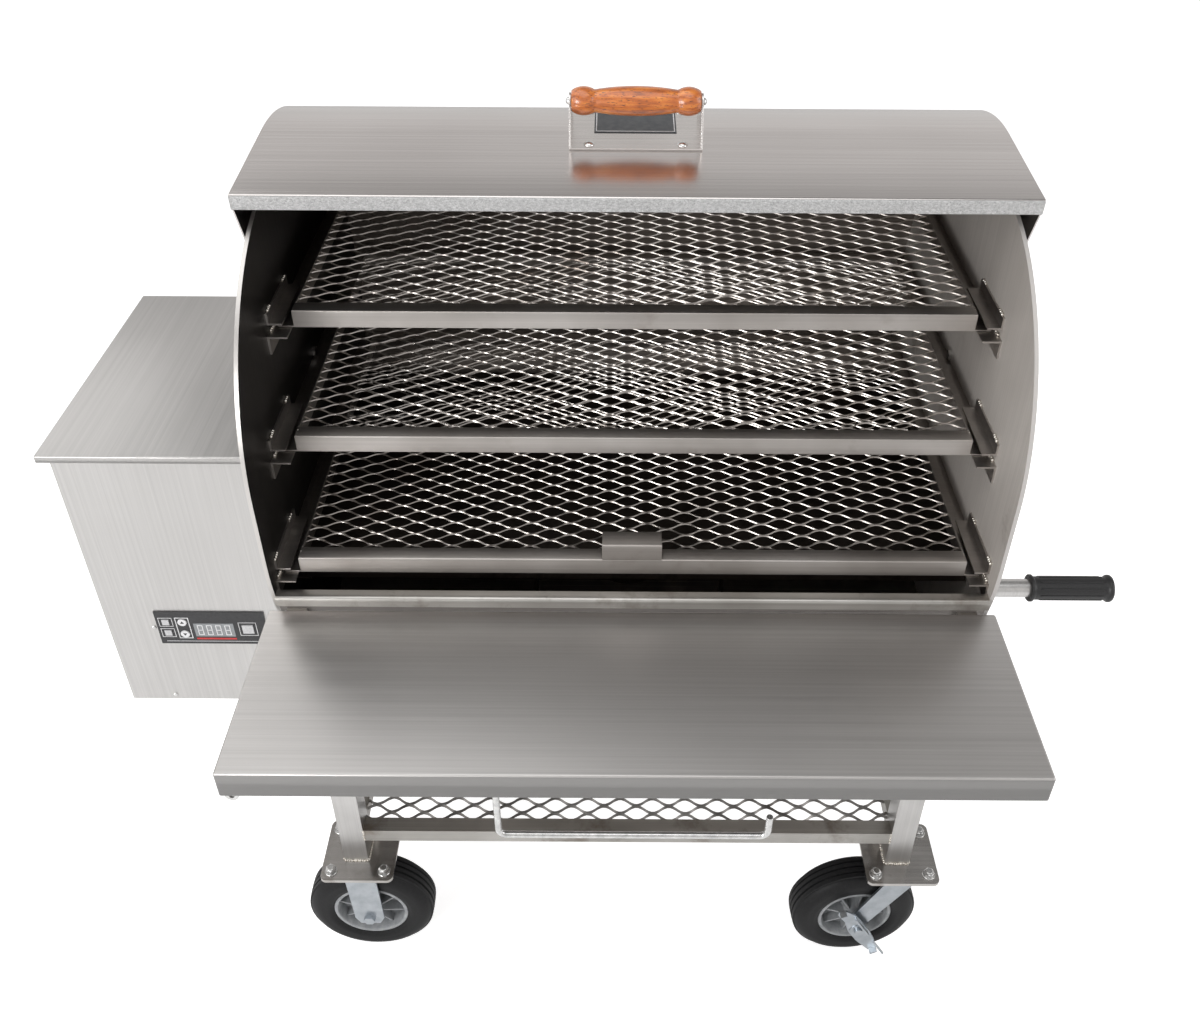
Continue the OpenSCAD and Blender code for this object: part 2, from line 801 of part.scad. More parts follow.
module wheel_at(sx, sy, a = 0, dx = 0) {
    at_caster(sx, sy) rotate([0, 0, a]) translate([dx, 0, axle_z]) children();
}

module rigid_wheel(sy) { wheel_at(-1, sy, 0, rigid_dx) children(); }

// ---- push handle -----------------------------------------------------------

module push_handle_tube() {
    color("silver") at_pivot() translate([0, push_y, push_z]) {
        difference() {
            bar_x(half_w, push_end - 8, push_r);
            bar_x(half_w + 3, push_end - 7, push_r - 2);
        }
        difference() {
            bar_x(half_w, half_w + 4, 20);
            bar_x(half_w - 1, half_w + 5, push_r);
        }
    }
}

module handle_grip() {
    color("black") at_pivot() translate([0, push_y, push_z]) difference() {
        union() {
            bar_x(grip_x, push_end, 16.5);
            bar_x(grip_x, grip_x + 5, 19);
            bar_x(push_end - 7, push_end, 19);
        }
        bar_x(grip_x - 1, push_end - 8, push_r);
    }
}

// ---- lid -------------------------------------------------------------------

lid_half = lid_w / 2;
lid_front = front_half + lid_gap;
bracket_z0 = lip_z + 120;
bracket_z1 = lip_z + 236;
ear_in = 80;
grip_z = lip_z + 152;
grip_y = -lid_front - 50;
bracket_t = 2.5;

// Rolled skin, lip flange and the two pie-shaped cheeks welded inside its ends
module lid_shell() {
    z = lip_z + gasket_t;
    color("silver") on_lid() {
        along_x(-lid_half, lid_half) intersection() {
            difference() {
                lid_outline(lid_gap);
                lid_outline(lid_gap - lid_t);
            }
            lid_sector(z);
        }
        block([-lid_half + cheek_t, -lid_front + lid_t, z],
            [lid_half - cheek_t, -lid_front + lip_depth, z + lid_t]);
        mirror_x() difference() {
            along_x(lid_half - cheek_t, lid_half) intersection() {
                lid_outline(lid_gap - lid_t);
                union() {
                    lid_sector(z);
                    circle(r = 30);
                }
            }
            bar_x(lid_half - 5, lid_half + 1, pin_r + 0.05);
        }
    }
}

module lid_gasket() {
    color("lightgray") on_lid() block([-lid_half + 1, -lid_front + 1, lip_z],
        [lid_half - 1, -lid_front + lip_depth - 0.5, lip_z + gasket_t]);
}

// U-shaped bracket: a base plate on the lid and an ear at each end of the grip
module handle_bracket() {
    y0 = -lid_front - bracket_t;
    color("silver") on_lid() {
        block([-ear_in - bracket_t, y0, bracket_z0], [ear_in + bracket_t, -lid_front, bracket_z1]);
        mirror_x() difference() {
            along_x(ear_in, ear_in + bracket_t) {
                polygon([[y0, bracket_z0], [y0, bracket_z1 - 20], [grip_y, grip_z + 16],
                    [grip_y, grip_z - 16]]);
                translate([grip_y, grip_z]) circle(r = 16);
            }
            translate([0, grip_y, grip_z]) bar_x(ear_in - 1, ear_in + 4, 4.05);
        }
    }
}

// Turned hardwood grip: ball ends, narrow necks and a swelling middle
module wood_handle() {
    half = ear_in - 0.3;
    ball_r = 17;
    color("peru") on_lid() translate([0, grip_y, grip_z]) rotate([0, 90, 0]) difference() {
        rotate_extrude($fn = 64) intersection() {
            union() {
                for (s = [-1, 1]) translate([0, s * (half - 14)]) scale([1, 1])
                    intersection() {
                        circle(r = ball_r);
                        translate([0, -14]) square([20, 28]);
                    }
                intersection() {
                    translate([-118, 0]) circle(r = 136, $fn = 160);
                    translate([0, -half + 10]) square([20, 2 * half - 20]);
                }
            }
            translate([0, -half]) square([20, 2 * half]);
        }
        translate([0, 0, -half - 1]) cylinder(h = 2 * half + 2, r = 4.05, $fn = 32);
    }
}

// Through rod with its end nuts, and the four dome screws in the base plate
module handle_fasteners() {
    color("lightgray") on_lid() {
        translate([0, grip_y, grip_z]) {
            bar_x(-ear_in - 5, ear_in + 5, 4, $fn = 32);
            mirror_x() translate([ear_in + bracket_t, 0, 0]) rotate([0, 90, 0])
                cylinder(h = 5, r = 7, $fn = 6);
        }
        for (x = [-58, 58], z = [bracket_z0 + 13, bracket_z1 - 10])
            translate([x, -lid_front - bracket_t, z]) rotate([90, 0, 0]) cylinder(h = 3.5, r = 6);
    }
}

module name_plate() {
    color("darkslategray") on_lid() block([-52, -lid_front - bracket_t - 1.2, bracket_z0 + 44],
        [52, -lid_front - bracket_t, bracket_z0 + 104]);
}

// ---- racks -----------------------------------------------------------------

// A slide-out rack: angle frame, outward side flanges and a sheet of expanded metal
module rack(i) {
    w = rack_w / 2;
    d = rack_depth[i];
    zb = rack_top[i] - rack_h;
    color("gray") at_pivot() translate([0, -rack_front[i], 0]) {
        translate([0, d / 2, 0]) mirror_y() {
            block([-w, -d / 2, zb], [w, -d / 2 + 2, rack_top[i]]);
            block([-w, -d / 2 + 2, rack_top[i] - 2], [w, -d / 2 + 22, rack_top[i]]);
        }
        mirror_x() {
            block([w - 2, 2, zb], [w, d - 2, rack_top[i] - 2]);
            block([w - 2, 22, rack_top[i] - 2], [w, d - 22, rack_top[i]]);
            block([w, 0, zb], [w + flange_w, d, zb + 2]);
        }
        translate([0, 2, rack_top[i] - 5]) linear_extrude(mesh_t) difference() {
            translate([-w + 2, 0]) square([2 * w - 4, d - 4]);
            translate([0, 10]) diamonds(2 * w - 12, d - 24, 101.6, 48, 5);
        }
    }
}

module top_rack() { rack(0); }

module middle_rack() { rack(1); }

// The bottom rack also has a bent pull tab
module bottom_rack() {
    rack(2);
    color("gray") at_pivot() translate([0, -rack_front[2], rack_top[2]]) {
        block([-39, 0, 0], [39, 2.5, 24]);
        block([-39, 2.5, 21.5], [39, 28, 24]);
    }
}

left_end_plate();
right_end_plate();
barrel_shell();
front_sill();
rack_runners();
drip_pan();
heat_baffle();
fire_pot();
auger_tube();
igniter_rod();
temperature_probe();
rear_vent();
lid_pivot_pins();
hopper_body();
pellet_chute();
controller_panel();
auger_motor();
fan_housing();
power_inlet();
panel_screws();
front_shelf();
shelf_arms();
towel_holder();
cart_legs();
cart_rails();
lower_shelf_mesh();
caster_plates();
caster_bolts();
push_handle_tube();
handle_grip();
union() { rigid_forks(); swivel_heads(); }
lid_shell();
lid_gasket();
handle_bracket();
wood_handle();
handle_fasteners();
name_plate();
top_rack();
middle_rack();
bottom_rack();
hopper_lid();
rigid_wheel(-1) color("black") tyre_shape();  // front_left_tyre
rigid_wheel(-1) color("gray") hub_shape();  // front_left_hub
rigid_wheel(1) color("black") tyre_shape();  // rear_left_tyre
rigid_wheel(1) color("gray") hub_shape();  // rear_left_hub
union() {  // front_right_fork
    swivel_fork(-1, front_swivel);
    brake_stub(-1, front_swivel);
}
wheel_at(1, -1, front_swivel, -swivel_trail) color("black") tyre_shape();  // front_right_tyre
wheel_at(1, -1, front_swivel, -swivel_trail) color("gray") hub_shape();  // front_right_hub
brake_lever(-1, front_swivel);  // front_right_brake
union() {  // rear_right_fork
    swivel_fork(1, rear_swivel);
    brake_stub(1, rear_swivel);
}
wheel_at(1, 1, rear_swivel, -swivel_trail) color("black") tyre_shape();  // rear_right_tyre
wheel_at(1, 1, rear_swivel, -swivel_trail) color("gray") hub_shape();  // rear_right_hub
brake_lever(1, rear_swivel);  // rear_right_brake
auger_screw();
fan_wheel();
key_cap(0);  // power_key
key_cap(1);  // menu_key
key_cap(2);  // up_key
key_cap(3);  // down_key
key_cap(4);  // select_key
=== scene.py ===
import bpy
import bmesh
import math
import random
from mathutils import Matrix, Vector


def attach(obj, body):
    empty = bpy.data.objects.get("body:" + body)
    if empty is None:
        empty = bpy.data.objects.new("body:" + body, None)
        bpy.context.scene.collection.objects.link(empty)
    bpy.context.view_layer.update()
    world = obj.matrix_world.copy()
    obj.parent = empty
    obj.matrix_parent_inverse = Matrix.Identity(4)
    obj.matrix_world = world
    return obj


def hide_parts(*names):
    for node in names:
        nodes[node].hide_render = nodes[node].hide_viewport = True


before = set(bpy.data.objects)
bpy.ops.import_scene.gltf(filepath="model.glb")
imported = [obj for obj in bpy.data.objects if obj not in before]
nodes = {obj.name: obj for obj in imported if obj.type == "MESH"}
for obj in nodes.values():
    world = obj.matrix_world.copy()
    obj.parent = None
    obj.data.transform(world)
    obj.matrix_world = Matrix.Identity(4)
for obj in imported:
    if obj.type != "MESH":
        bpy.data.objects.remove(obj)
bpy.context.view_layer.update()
rnd = random.Random(7)

# ---- driving sizes, in millimetres from the lid's pivot on the barrel's middle plane ---------
MID_X, MID_Y, PIVOT_Z = -52.5, -117.0, 940.0
LID_REST = -85.0

# barrel and lid, as drawn with the lid closed
FRONT, TOP, CORNER, GAP = 344.0, 336.0, 290.0, 28.0
LID_BACK = 68.0
LID_FRONT = -FRONT - GAP
LID_HALF = 475
SKIN_T = 2.5
LIP_Z = -124.0
LIP_BACK = LID_FRONT + 19
TAPE_T = 3
LID_LOW = LIP_Z - TAPE_T
PLATE_IN = 453.6

# lid handle
BRACKET_Z0, BRACKET_Z1 = LID_LOW + 120, LID_LOW + 236
GRIP_Y, GRIP_Z = LID_FRONT - 50.0, LID_LOW + 152
GRIP_HALF = 79.4
EAR_IN, EAR_OUT = 80.0, 82.5

# racks: name, top, front and depth
RACKS = (("top_rack", 206.5, 153.0, 400.0), ("middle_rack", 71.5, 232.0, 520.0),
         ("bottom_rack", -65.0, 308.0, 570.0))
RACK_HALF, RACK_H, RACK_T, RACK_FLANGE = 427.0, 23.5, 2.2, 22

# work shelf, hopper and cart
SHELF_TOP, SHELF_FRONT, SHELF_BACK, SHELF_HALF = -128.5, -598.0, -336.0, 468.5
HOPPER_LEFT, HOPPER_FRONT = -756.0, -217.0
LEG_X, LEG_Y, PLATE_TOP = 433.0, 294.0, -PIVOT_Z + 236.0
CASTER_DX, RIGID_DX, TRAIL, SWIVEL_DEG = 5.0, 3.5, 59.0, 4.0
WHEEL_R = 103.0


def P(x, y, z):
    """A point in mm from the pivot, as a point of the frame in metres."""
    return Vector(((x - MID_X) / 1000, (y - MID_Y) / 1000, (z + PIVOT_Z) / 1000))


def opened(v):
    """A point drawn with the lid closed, where it rests with the lid open."""
    c, s = math.cos(math.radians(LID_REST)), math.sin(math.radians(LID_REST))
    return (v[0], v[1] * c - v[2] * s, v[1] * s + v[2] * c)


# ---- material helpers -----------------------------------------------------------------------
def new_material(name):
    mat = bpy.data.materials.new(name)
    mat.use_nodes = True
    tree = mat.node_tree
    return mat, tree, tree.nodes["Principled BSDF"]


def link(tree, a, b):
    tree.links.new(a, b)


def noise(tree, scale, detail=3.0, stretch=(1, 1, 1), rough=0.6):
    coords = tree.nodes.new("ShaderNodeTexCoord")
    mapping = tree.nodes.new("ShaderNodeMapping")
    mapping.inputs["Scale"].default_value = stretch
    tex = tree.nodes.new("ShaderNodeTexNoise")
    tex.inputs["Scale"].default_value = scale
    tex.inputs["Detail"].default_value = detail
    tex.inputs["Roughness"].default_value = rough
    link(tree, coords.outputs["Object"], mapping.inputs["Vector"])
    link(tree, mapping.outputs["Vector"], tex.inputs["Vector"])
    return tex.outputs["Fac"]


def ramp(tree, fac, stops):
    node = tree.nodes.new("ShaderNodeValToRGB")
    elements = node.color_ramp.elements
    while len(elements) < len(stops):
        elements.new(0.5)
    for element, (place, colour) in zip(elements, stops):
        element.position = place
        element.color = (*colour, 1)
    link(tree, fac, node.inputs["Fac"])
    return node.outputs["Color"]


def mix(tree, fac, a, b, mode="MIX"):
    node = tree.nodes.new("ShaderNodeMix")
    node.data_type = "RGBA"
    node.blend_type = mode
    for sock, v in ((node.inputs["Factor"], fac), (node.inputs["A"], a), (node.inputs["B"], b)):
        if isinstance(v, bpy.types.NodeSocket):
            link(tree, v, sock)
        else:
            sock.default_value = (*v, 1) if isinstance(v, tuple) else v
    return node.outputs["Result"]


def bump(tree, bsdf, fac, strength, dist):
    node = tree.nodes.new("ShaderNodeBump")
    node.inputs["Strength"].default_value = strength
    node.inputs["Distance"].default_value = dist
    link(tree, fac, node.inputs["Height"])
    link(tree, node.outputs["Normal"], bsdf.inputs["Normal"])


def spread(tree, fac, lo, hi, start=0.0):
    """Maps fac, from start to 1, to the range lo to hi."""
    node = tree.nodes.new("ShaderNodeMapRange")
    node.inputs["From Min"].default_value = start
    node.inputs["To Min"].default_value = lo
    node.inputs["To Max"].default_value = hi
    link(tree, fac, node.inputs["Value"])
    return node.outputs["Result"]


def steel(name, lo, hi, r0, r1, grain="x", cloud=2.2, stain=None):
    """Brushed steel: fine lines along grain, slow clouds from lo to hi, and roughness from r0 to r1.

    A stain is its colour, its scale, and where its noise begins and ends to show.
    """
    mat, tree, bsdf = new_material(name)
    stretch = {"x": (1.2, 260, 260), "z": (260, 260, 1.2), "y": (260, 1.2, 260)}[grain]
    lines = noise(tree, 1.0, 4, stretch, 0.7)
    clouds = noise(tree, cloud, 3, (1, 1, 1), 0.5)
    colour = ramp(tree, clouds, [(0.3, lo), (0.7, hi)])
    shade = ramp(tree, lines, [(0.3, (0.25, 0.25, 0.25)), (0.7, (1, 1, 1))])
    colour = mix(tree, 0.22, colour, shade, "MULTIPLY")
    if stain:
        spots = noise(tree, stain[1], 5, (1, 1, 1), 0.65)
        shown = ramp(tree, spots, [(stain[2], (0, 0, 0)), (stain[3], (1, 1, 1))])
        colour = mix(tree, shown, colour, stain[0])
    link(tree, colour, bsdf.inputs["Base Color"])
    bsdf.inputs["Metallic"].default_value = 1.0
    link(tree, spread(tree, lines, r0, r1), bsdf.inputs["Roughness"])
    bump(tree, bsdf, lines, 0.10, 0.0004)
    return mat


def plain(name, lo, hi, rough, scale=60, metallic=0.0, bmp=0.1, dist=0.0004):
    """An even colour from lo to hi with a fine grain."""
    mat, tree, bsdf = new_material(name)
    grain = noise(tree, scale, 5)
    link(tree, ramp(tree, grain, [(0.3, lo), (0.7, hi)]), bsdf.inputs["Base Color"])
    link(tree, spread(tree, grain, rough - 0.06, rough + 0.08), bsdf.inputs["Roughness"])
    bsdf.inputs["Metallic"].default_value = metallic
    bump(tree, bsdf, grain, bmp, dist)
    return mat


def two_faced(mat, toward, other):
    """Keeps mat's colour on faces that look along the axis toward; every other face has the colour other."""
    tree = mat.node_tree
    bsdf = tree.nodes["Principled BSDF"]
    geometry = tree.nodes.new("ShaderNodeNewGeometry")
    along = tree.nodes.new("ShaderNodeVectorMath")
    along.operation = "DOT_PRODUCT"
    along.inputs[1].default_value = toward
    link(tree, geometry.outputs["True Normal"], along.inputs[0])
    faces_it = tree.nodes.new("ShaderNodeMath")
    faces_it.operation = "GREATER_THAN"
    faces_it.inputs[1].default_value = 0.5
    link(tree, along.outputs["Value"], faces_it.inputs[0])
    kept = bsdf.inputs["Base Color"].links[0].from_socket
    link(tree, mix(tree, faces_it.outputs[0], other, kept), bsdf.inputs["Base Color"])


def sooty_inside(mat):
    """Dulls and darkens the faces that look towards the barrel's axis."""
    tree = mat.node_tree
    bsdf = tree.nodes["Principled BSDF"]
    geometry = tree.nodes.new("ShaderNodeNewGeometry")
    from_axis = tree.nodes.new("ShaderNodeVectorMath")
    from_axis.operation = "SUBTRACT"
    from_axis.inputs[1].default_value = P(0, 0, 0)
    link(tree, geometry.outputs["Position"], from_axis.inputs[0])
    outward = tree.nodes.new("ShaderNodeVectorMath")
    outward.operation = "DOT_PRODUCT"
    link(tree, from_axis.outputs[0], outward.inputs[0])
    link(tree, geometry.outputs["True Normal"], outward.inputs[1])
    outside = spread(tree, outward.outputs["Value"], 0, 1)
    soot = ramp(tree, noise(tree, 9, 5), [(0.3, (0.17, 0.145, 0.125)), (0.7, (0.30, 0.265, 0.235))])
    bright = bsdf.inputs["Base Color"].links[0].from_socket
    link(tree, mix(tree, outside, soot, bright), bsdf.inputs["Base Color"])
    link(tree, spread(tree, outside, 0.35, 1.0), bsdf.inputs["Metallic"])


def speckled_tape(name):
    """Woven glass tape: two sizes of grey speckle."""
    mat, tree, bsdf = new_material(name)
    fine = noise(tree, 900, 2, (1, 1, 1), 0.8)
    weave = noise(tree, 240, 2, (1, 1.6, 1.6), 0.7)
    fine_colour = ramp(tree, fine, [(0.35, (0.20, 0.20, 0.20)), (0.65, (0.66, 0.66, 0.66))])
    weave_colour = ramp(tree, weave, [(0.35, (0.28, 0.28, 0.28)), (0.65, (0.60, 0.60, 0.60))])
    link(tree, mix(tree, 0.5, fine_colour, weave_colour), bsdf.inputs["Base Color"])
    bsdf.inputs["Roughness"].default_value = 0.85
    bump(tree, bsdf, fine, 0.6, 0.0012)
    return mat


def hardwood(name):
    """Lacquered hardwood: long streaks with dark rings, and short dark pores."""
    mat, tree, bsdf = new_material(name)
    streaks = noise(tree, 7, 5, (4, 26, 26), 0.6)
    pores = noise(tree, 60, 2, (3, 14, 14), 0.5)
    colour = ramp(tree, streaks, [(0.28, (0.20, 0.040, 0.005)), (0.5, (0.50, 0.125, 0.014)),
                                  (0.72, (0.72, 0.25, 0.038))])
    pore_mask = ramp(tree, pores, [(0.60, (0, 0, 0)), (0.68, (1, 1, 1))])
    link(tree, mix(tree, pore_mask, colour, (0.10, 0.02, 0.006)), bsdf.inputs["Base Color"])
    bsdf.inputs["Roughness"].default_value = 0.34
    bsdf.inputs["Coat Weight"].default_value = 1.0
    bsdf.inputs["Coat Roughness"].default_value = 0.2
    bump(tree, bsdf, pores, 0.12, 0.0005)
    return mat


# ---- materials ------------------------------------------------------------------------------
LID = steel("lid_steel", (0.63, 0.60, 0.585), (0.72, 0.69, 0.675), 0.16, 0.26)
SHELF = steel("shelf_steel_painted_shade_sides", (0.52, 0.505, 0.495), (0.60, 0.585, 0.57), 0.36, 0.50, cloud=3.0)
# the shelf's top keeps the steel's colour; its apron, sides and underside are painted dark grey, a painted
# shade
two_faced(SHELF, (0, 0, 1), (0.29, 0.285, 0.28))
HOPPER = steel("hopper_steel", (0.53, 0.52, 0.51), (0.61, 0.60, 0.59), 0.30, 0.42, grain="z")
HOPPER_TOP = steel("hopper_lid_steel", (0.47, 0.46, 0.45), (0.57, 0.56, 0.55), 0.28, 0.4, grain="y")
BARREL = steel("barrel_steel", (0.54, 0.515, 0.50), (0.64, 0.615, 0.60), 0.2, 0.32)
sooty_inside(BARREL)
LEG = steel("leg_steel", (0.55, 0.54, 0.53), (0.72, 0.71, 0.70), 0.25, 0.38, grain="z", cloud=8)
RAIL = steel("rail_steel", (0.40, 0.385, 0.36), (0.56, 0.545, 0.52), 0.26, 0.4, cloud=9,
             stain=((0.22, 0.19, 0.16), 14, 0.55, 0.75))
RACK = steel("rack_steel", (0.41, 0.38, 0.355), (0.58, 0.55, 0.525), 0.28, 0.42, cloud=7,
             stain=((0.26, 0.22, 0.19), 8, 0.58, 0.85))
MESH = steel("mesh_steel", (0.37, 0.34, 0.315), (0.58, 0.55, 0.52), 0.22, 0.36, cloud=10,
             stain=((0.13, 0.10, 0.08), 5, 0.52, 0.72))
SHELF_MESH = steel("shelf_mesh_steel", (0.22, 0.21, 0.20), (0.42, 0.405, 0.39), 0.26, 0.4, cloud=14,
                   stain=((0.10, 0.09, 0.08), 12, 0.5, 0.7))
PLATE_R = steel("warm_plate_steel", (0.45, 0.415, 0.385), (0.62, 0.585, 0.55), 0.42, 0.55, grain="z",
                cloud=4, stain=((0.20, 0.165, 0.14), 9, 0.60, 0.80))
PLATE_R.node_tree.nodes["Principled BSDF"].inputs["Metallic"].default_value = 0.35
two_faced(PLATE_R, (-1, 0, 0), (0.52, 0.50, 0.485))
# left end plate: its inner face is painted near black as painted shade, standing for the shadow the lamps
# leave there; its outer face and rim keep bright steel, and its stains are real
PLATE_L_PAINTED_SHADE = steel("left_plate_steel_painted_shade", (0.04, 0.038, 0.036), (0.09, 0.085, 0.08), 0.30, 0.46, grain="z",
                cloud=4, stain=((0.05, 0.045, 0.04), 9, 0.5, 0.75))
two_faced(PLATE_L_PAINTED_SHADE, (1, 0, 0), (0.60, 0.58, 0.56))
SOOT = steel("smoked_steel", (0.085, 0.07, 0.06), (0.16, 0.14, 0.125), 0.38, 0.55, cloud=6,
             stain=((0.03, 0.024, 0.02), 12, 0.5, 0.75))
BRACKET = steel("bracket_steel", (0.70, 0.67, 0.65), (0.82, 0.79, 0.77), 0.22, 0.32, cloud=8)
CASTER_PLATE = steel("caster_plate_steel", (0.50, 0.48, 0.46), (0.66, 0.64, 0.62), 0.16, 0.28, cloud=16,
                     stain=((0.30, 0.27, 0.25), 20, 0.58, 0.78))
ZINC = plain("zinc_plate", (0.37, 0.40, 0.43), (0.52, 0.55, 0.58), 0.30, 45, 1.0, 0.06)
BOLT = plain("bolt_zinc", (0.52, 0.52, 0.52), (0.78, 0.78, 0.77), 0.22, 120, 1.0, 0.08)
DARK_BOLT = plain("dark_bolt", (0.10, 0.09, 0.08), (0.22, 0.20, 0.18), 0.35, 200, 1.0)
WELD = plain("weld_bead", (0.42, 0.39, 0.34), (0.78, 0.75, 0.70), 0.26, 260, 1.0, 0.35, 0.0008)
BLACK = plain("black_plastic", (0.012, 0.012, 0.014), (0.03, 0.03, 0.032), 0.38, 300)
GRIP = plain("grip_rubber", (0.008, 0.008, 0.009), (0.022, 0.022, 0.023), 0.42, 500, 0, 0.3)
TYRE = plain("tyre_rubber", (0.004, 0.004, 0.0045), (0.011, 0.011, 0.012), 0.52, 220, 0, 0.25, 0.0006)
TYRE.node_tree.nodes["Principled BSDF"].inputs["Specular IOR Level"].default_value = 0.25
HUB = plain("hub_plastic", (0.20, 0.21, 0.22), (0.34, 0.35, 0.36), 0.42, 90, 0, 0.15)
GREY_KEY = plain("key_plastic", (0.42, 0.42, 0.43), (0.56, 0.56, 0.57), 0.5, 400)
DISPLAY = plain("display_face", (0.20, 0.21, 0.22), (0.26, 0.27, 0.28), 0.22, 200)
PALE = plain("pale_print", (0.60, 0.60, 0.61), (0.72, 0.72, 0.73), 0.4, 300)
RED = plain("red_print", (0.45, 0.015, 0.015), (0.55, 0.03, 0.03), 0.4, 300)
NAME_FACE = plain("name_plate_face", (0.055, 0.06, 0.068), (0.11, 0.115, 0.12), 0.34, 120, 0.6, 0.1)
TAPE = speckled_tape("gasket_tape")
WOOD = hardwood("turned_hardwood")

# ---- mesh helpers ---------------------------------------------------------------------------
BOX_FACES = ((0, 1, 3, 2), (4, 6, 7, 5), (0, 4, 5, 1), (2, 3, 7, 6), (0, 2, 6, 4), (1, 5, 7, 3))
WEDGE_FACES = ((0, 1, 2), (5, 4, 3), (0, 3, 4, 1), (1, 4, 5, 2), (2, 5, 3, 0))


def soften(ob, width, seg):
    """Rounds the sharp edges of ob by width (mm)."""
    mod = ob.modifiers.new("edge", "BEVEL")
    mod.width = width / 1000
    mod.segments = seg
    mod.limit_method = "ANGLE"
    mod.angle_limit = math.radians(40)
    mod.harden_normals = True


def finish_mesh(name, bm, mat, body, angle=38, bevel=0.0, replaces=()):
    """Makes a piece of bm that rides on body, smooth across edges flatter than angle."""
    bmesh.ops.recalc_face_normals(bm, faces=bm.faces)
    lim = math.radians(angle)
    for f in bm.faces:
        f.smooth = True
    for e in bm.edges:
        if len(e.link_faces) == 2 and e.calc_face_angle(0) > lim:
            e.smooth = False
    mesh = bpy.data.meshes.new(name)
    bm.to_mesh(mesh)
    bm.free()
    ob = bpy.data.objects.new(name, mesh)
    bpy.context.scene.collection.objects.link(ob)
    mesh.materials.append(mat)
    if bevel:
        soften(ob, bevel, 2)
    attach(ob, body)
    if replaces:
        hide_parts(*replaces)
    return ob


def paint(node, mat, bevel=0.0, seg=2):
    """Gives a CAD node its material, and rounds its edges where bevel (mm) is set."""
    ob = nodes[node]
    ob.data.materials.clear()
    ob.data.materials.append(mat)
    if bevel:
        soften(ob, bevel, seg)


def arc_angles(start, step, count):
    """Angles in radians for a round stretch, from degrees."""
    return [math.radians(start + step * k) for k in range(count)]


def add_corners(bm, corners, faces):
    verts = [bm.verts.new(c) for c in corners]
    for f in faces:
        bm.faces.new([verts[i] for i in f])


def add_box(bm, a, b):
    add_corners(bm, [P(x, y, z) for x in (a[0], b[0]) for y in (a[1], b[1]) for z in (a[2], b[2])], BOX_FACES)


def join_rings(bm, a, b):
    """A band of faces between two rings of as many points."""
    n = len(a)
    for k in range(n):
        bm.faces.new((a[k], a[(k + 1) % n], b[(k + 1) % n], b[k]))


def add_prism(bm, pts, x0, x1, place=lambda v: v):
    """Extrudes a (y, z) outline along X; place maps each point to where it rests."""
    rings = [[bm.verts.new(P(*place((x, y, z)))) for y, z in pts] for x in (x0, x1)]
    join_rings(bm, *rings)
    bm.faces.new(rings[0])
    bm.faces.new(rings[1])


def add_ring(bm, centre, u, w, r, seg, turn=0.0):
    """Points at radius r (mm) round centre, in the plane of u and w."""
    angles = [turn + 2 * math.pi * k / seg for k in range(seg)]
    return [bm.verts.new(centre + (u * math.cos(a) + w * math.sin(a)) * (r / 1000)) for a in angles]


def add_lathe(bm, prof, origin, axis, seg, close=False):
    """Turns (radius, distance) points in mm about an axis through origin, which is in frame metres."""
    axis = Vector(axis).normalized()
    u = axis.orthogonal().normalized()
    w = axis.cross(u)
    rings = []
    for r, h in prof:
        if r < 1e-6:
            rings.append([bm.verts.new(origin + axis * (h / 1000))])
        else:
            rings.append(add_ring(bm, origin + axis * (h / 1000), u, w, r, seg))
    for a, b in list(zip(rings, rings[1:])) + ([(rings[-1], rings[0])] if close else []):
        if len(a) > 1 and len(b) > 1:
            join_rings(bm, a, b)
            continue
        for k in range(seg):
            j = (k + 1) % seg
            if len(b) > 1:
                bm.faces.new((a[0], b[j], b[k]))
            elif len(a) > 1:
                bm.faces.new((a[k], a[j], b[0]))


def add_hex(bm, origin, axis, across, h, turn):
    """A chamfered hexagon head that stands h above origin along axis."""
    chamfer = 0.8
    axis = Vector(axis).normalized()
    u = axis.orthogonal().normalized()
    w = axis.cross(u)
    r = across / 2 / math.cos(math.pi / 6)
    levels = ((r, 0), (r, h - chamfer), (r - chamfer * 1.6, h))
    rings = [add_ring(bm, origin + axis * (up / 1000), u, w, radius, 6, turn) for radius, up in levels]
    for a, b in zip(rings, rings[1:]):
        join_rings(bm, a, b)
    bm.faces.new(rings[0])
    bm.faces.new(rings[-1])


def add_tube(bm, pts, r, seg):
    """Sweeps a circle of radius r (mm) along points in frame metres."""
    rings = []
    up = None
    for i, p in enumerate(pts):
        d = (pts[min(i + 1, len(pts) - 1)] - pts[max(i - 1, 0)]).normalized()
        if up is None:
            up = d.orthogonal().normalized()
        up = (up - d * up.dot(d)).normalized()
        w = d.cross(up)
        rings.append(add_ring(bm, p, up, w, r, seg))
    for a, b in zip(rings, rings[1:]):
        join_rings(bm, a, b)
    bm.faces.new(rings[0])
    bm.faces.new(rings[-1])


def tray(name, a, b, t, r, mat, body, replaces=()):
    """A folded sheet box, open below: rounded bends on the top and the upright corners."""
    bm = bmesh.new()
    add_box(bm, a, b)
    bottom = [f for f in bm.faces if all(abs(v.co.z - P(0, 0, a[2]).z) < 1e-6 for v in f.verts)]
    bmesh.ops.delete(bm, geom=bottom, context="FACES")
    folds = [e for e in bm.edges if len(e.link_faces) == 2]
    bmesh.ops.bevel(bm, geom=folds, offset=r / 1000, segments=4, affect="EDGES", profile=0.5)
    ob = finish_mesh(name, bm, mat, body, angle=50, replaces=replaces)
    mod = ob.modifiers.new("sheet", "SOLIDIFY")
    mod.thickness = t / 1000
    mod.offset = -1


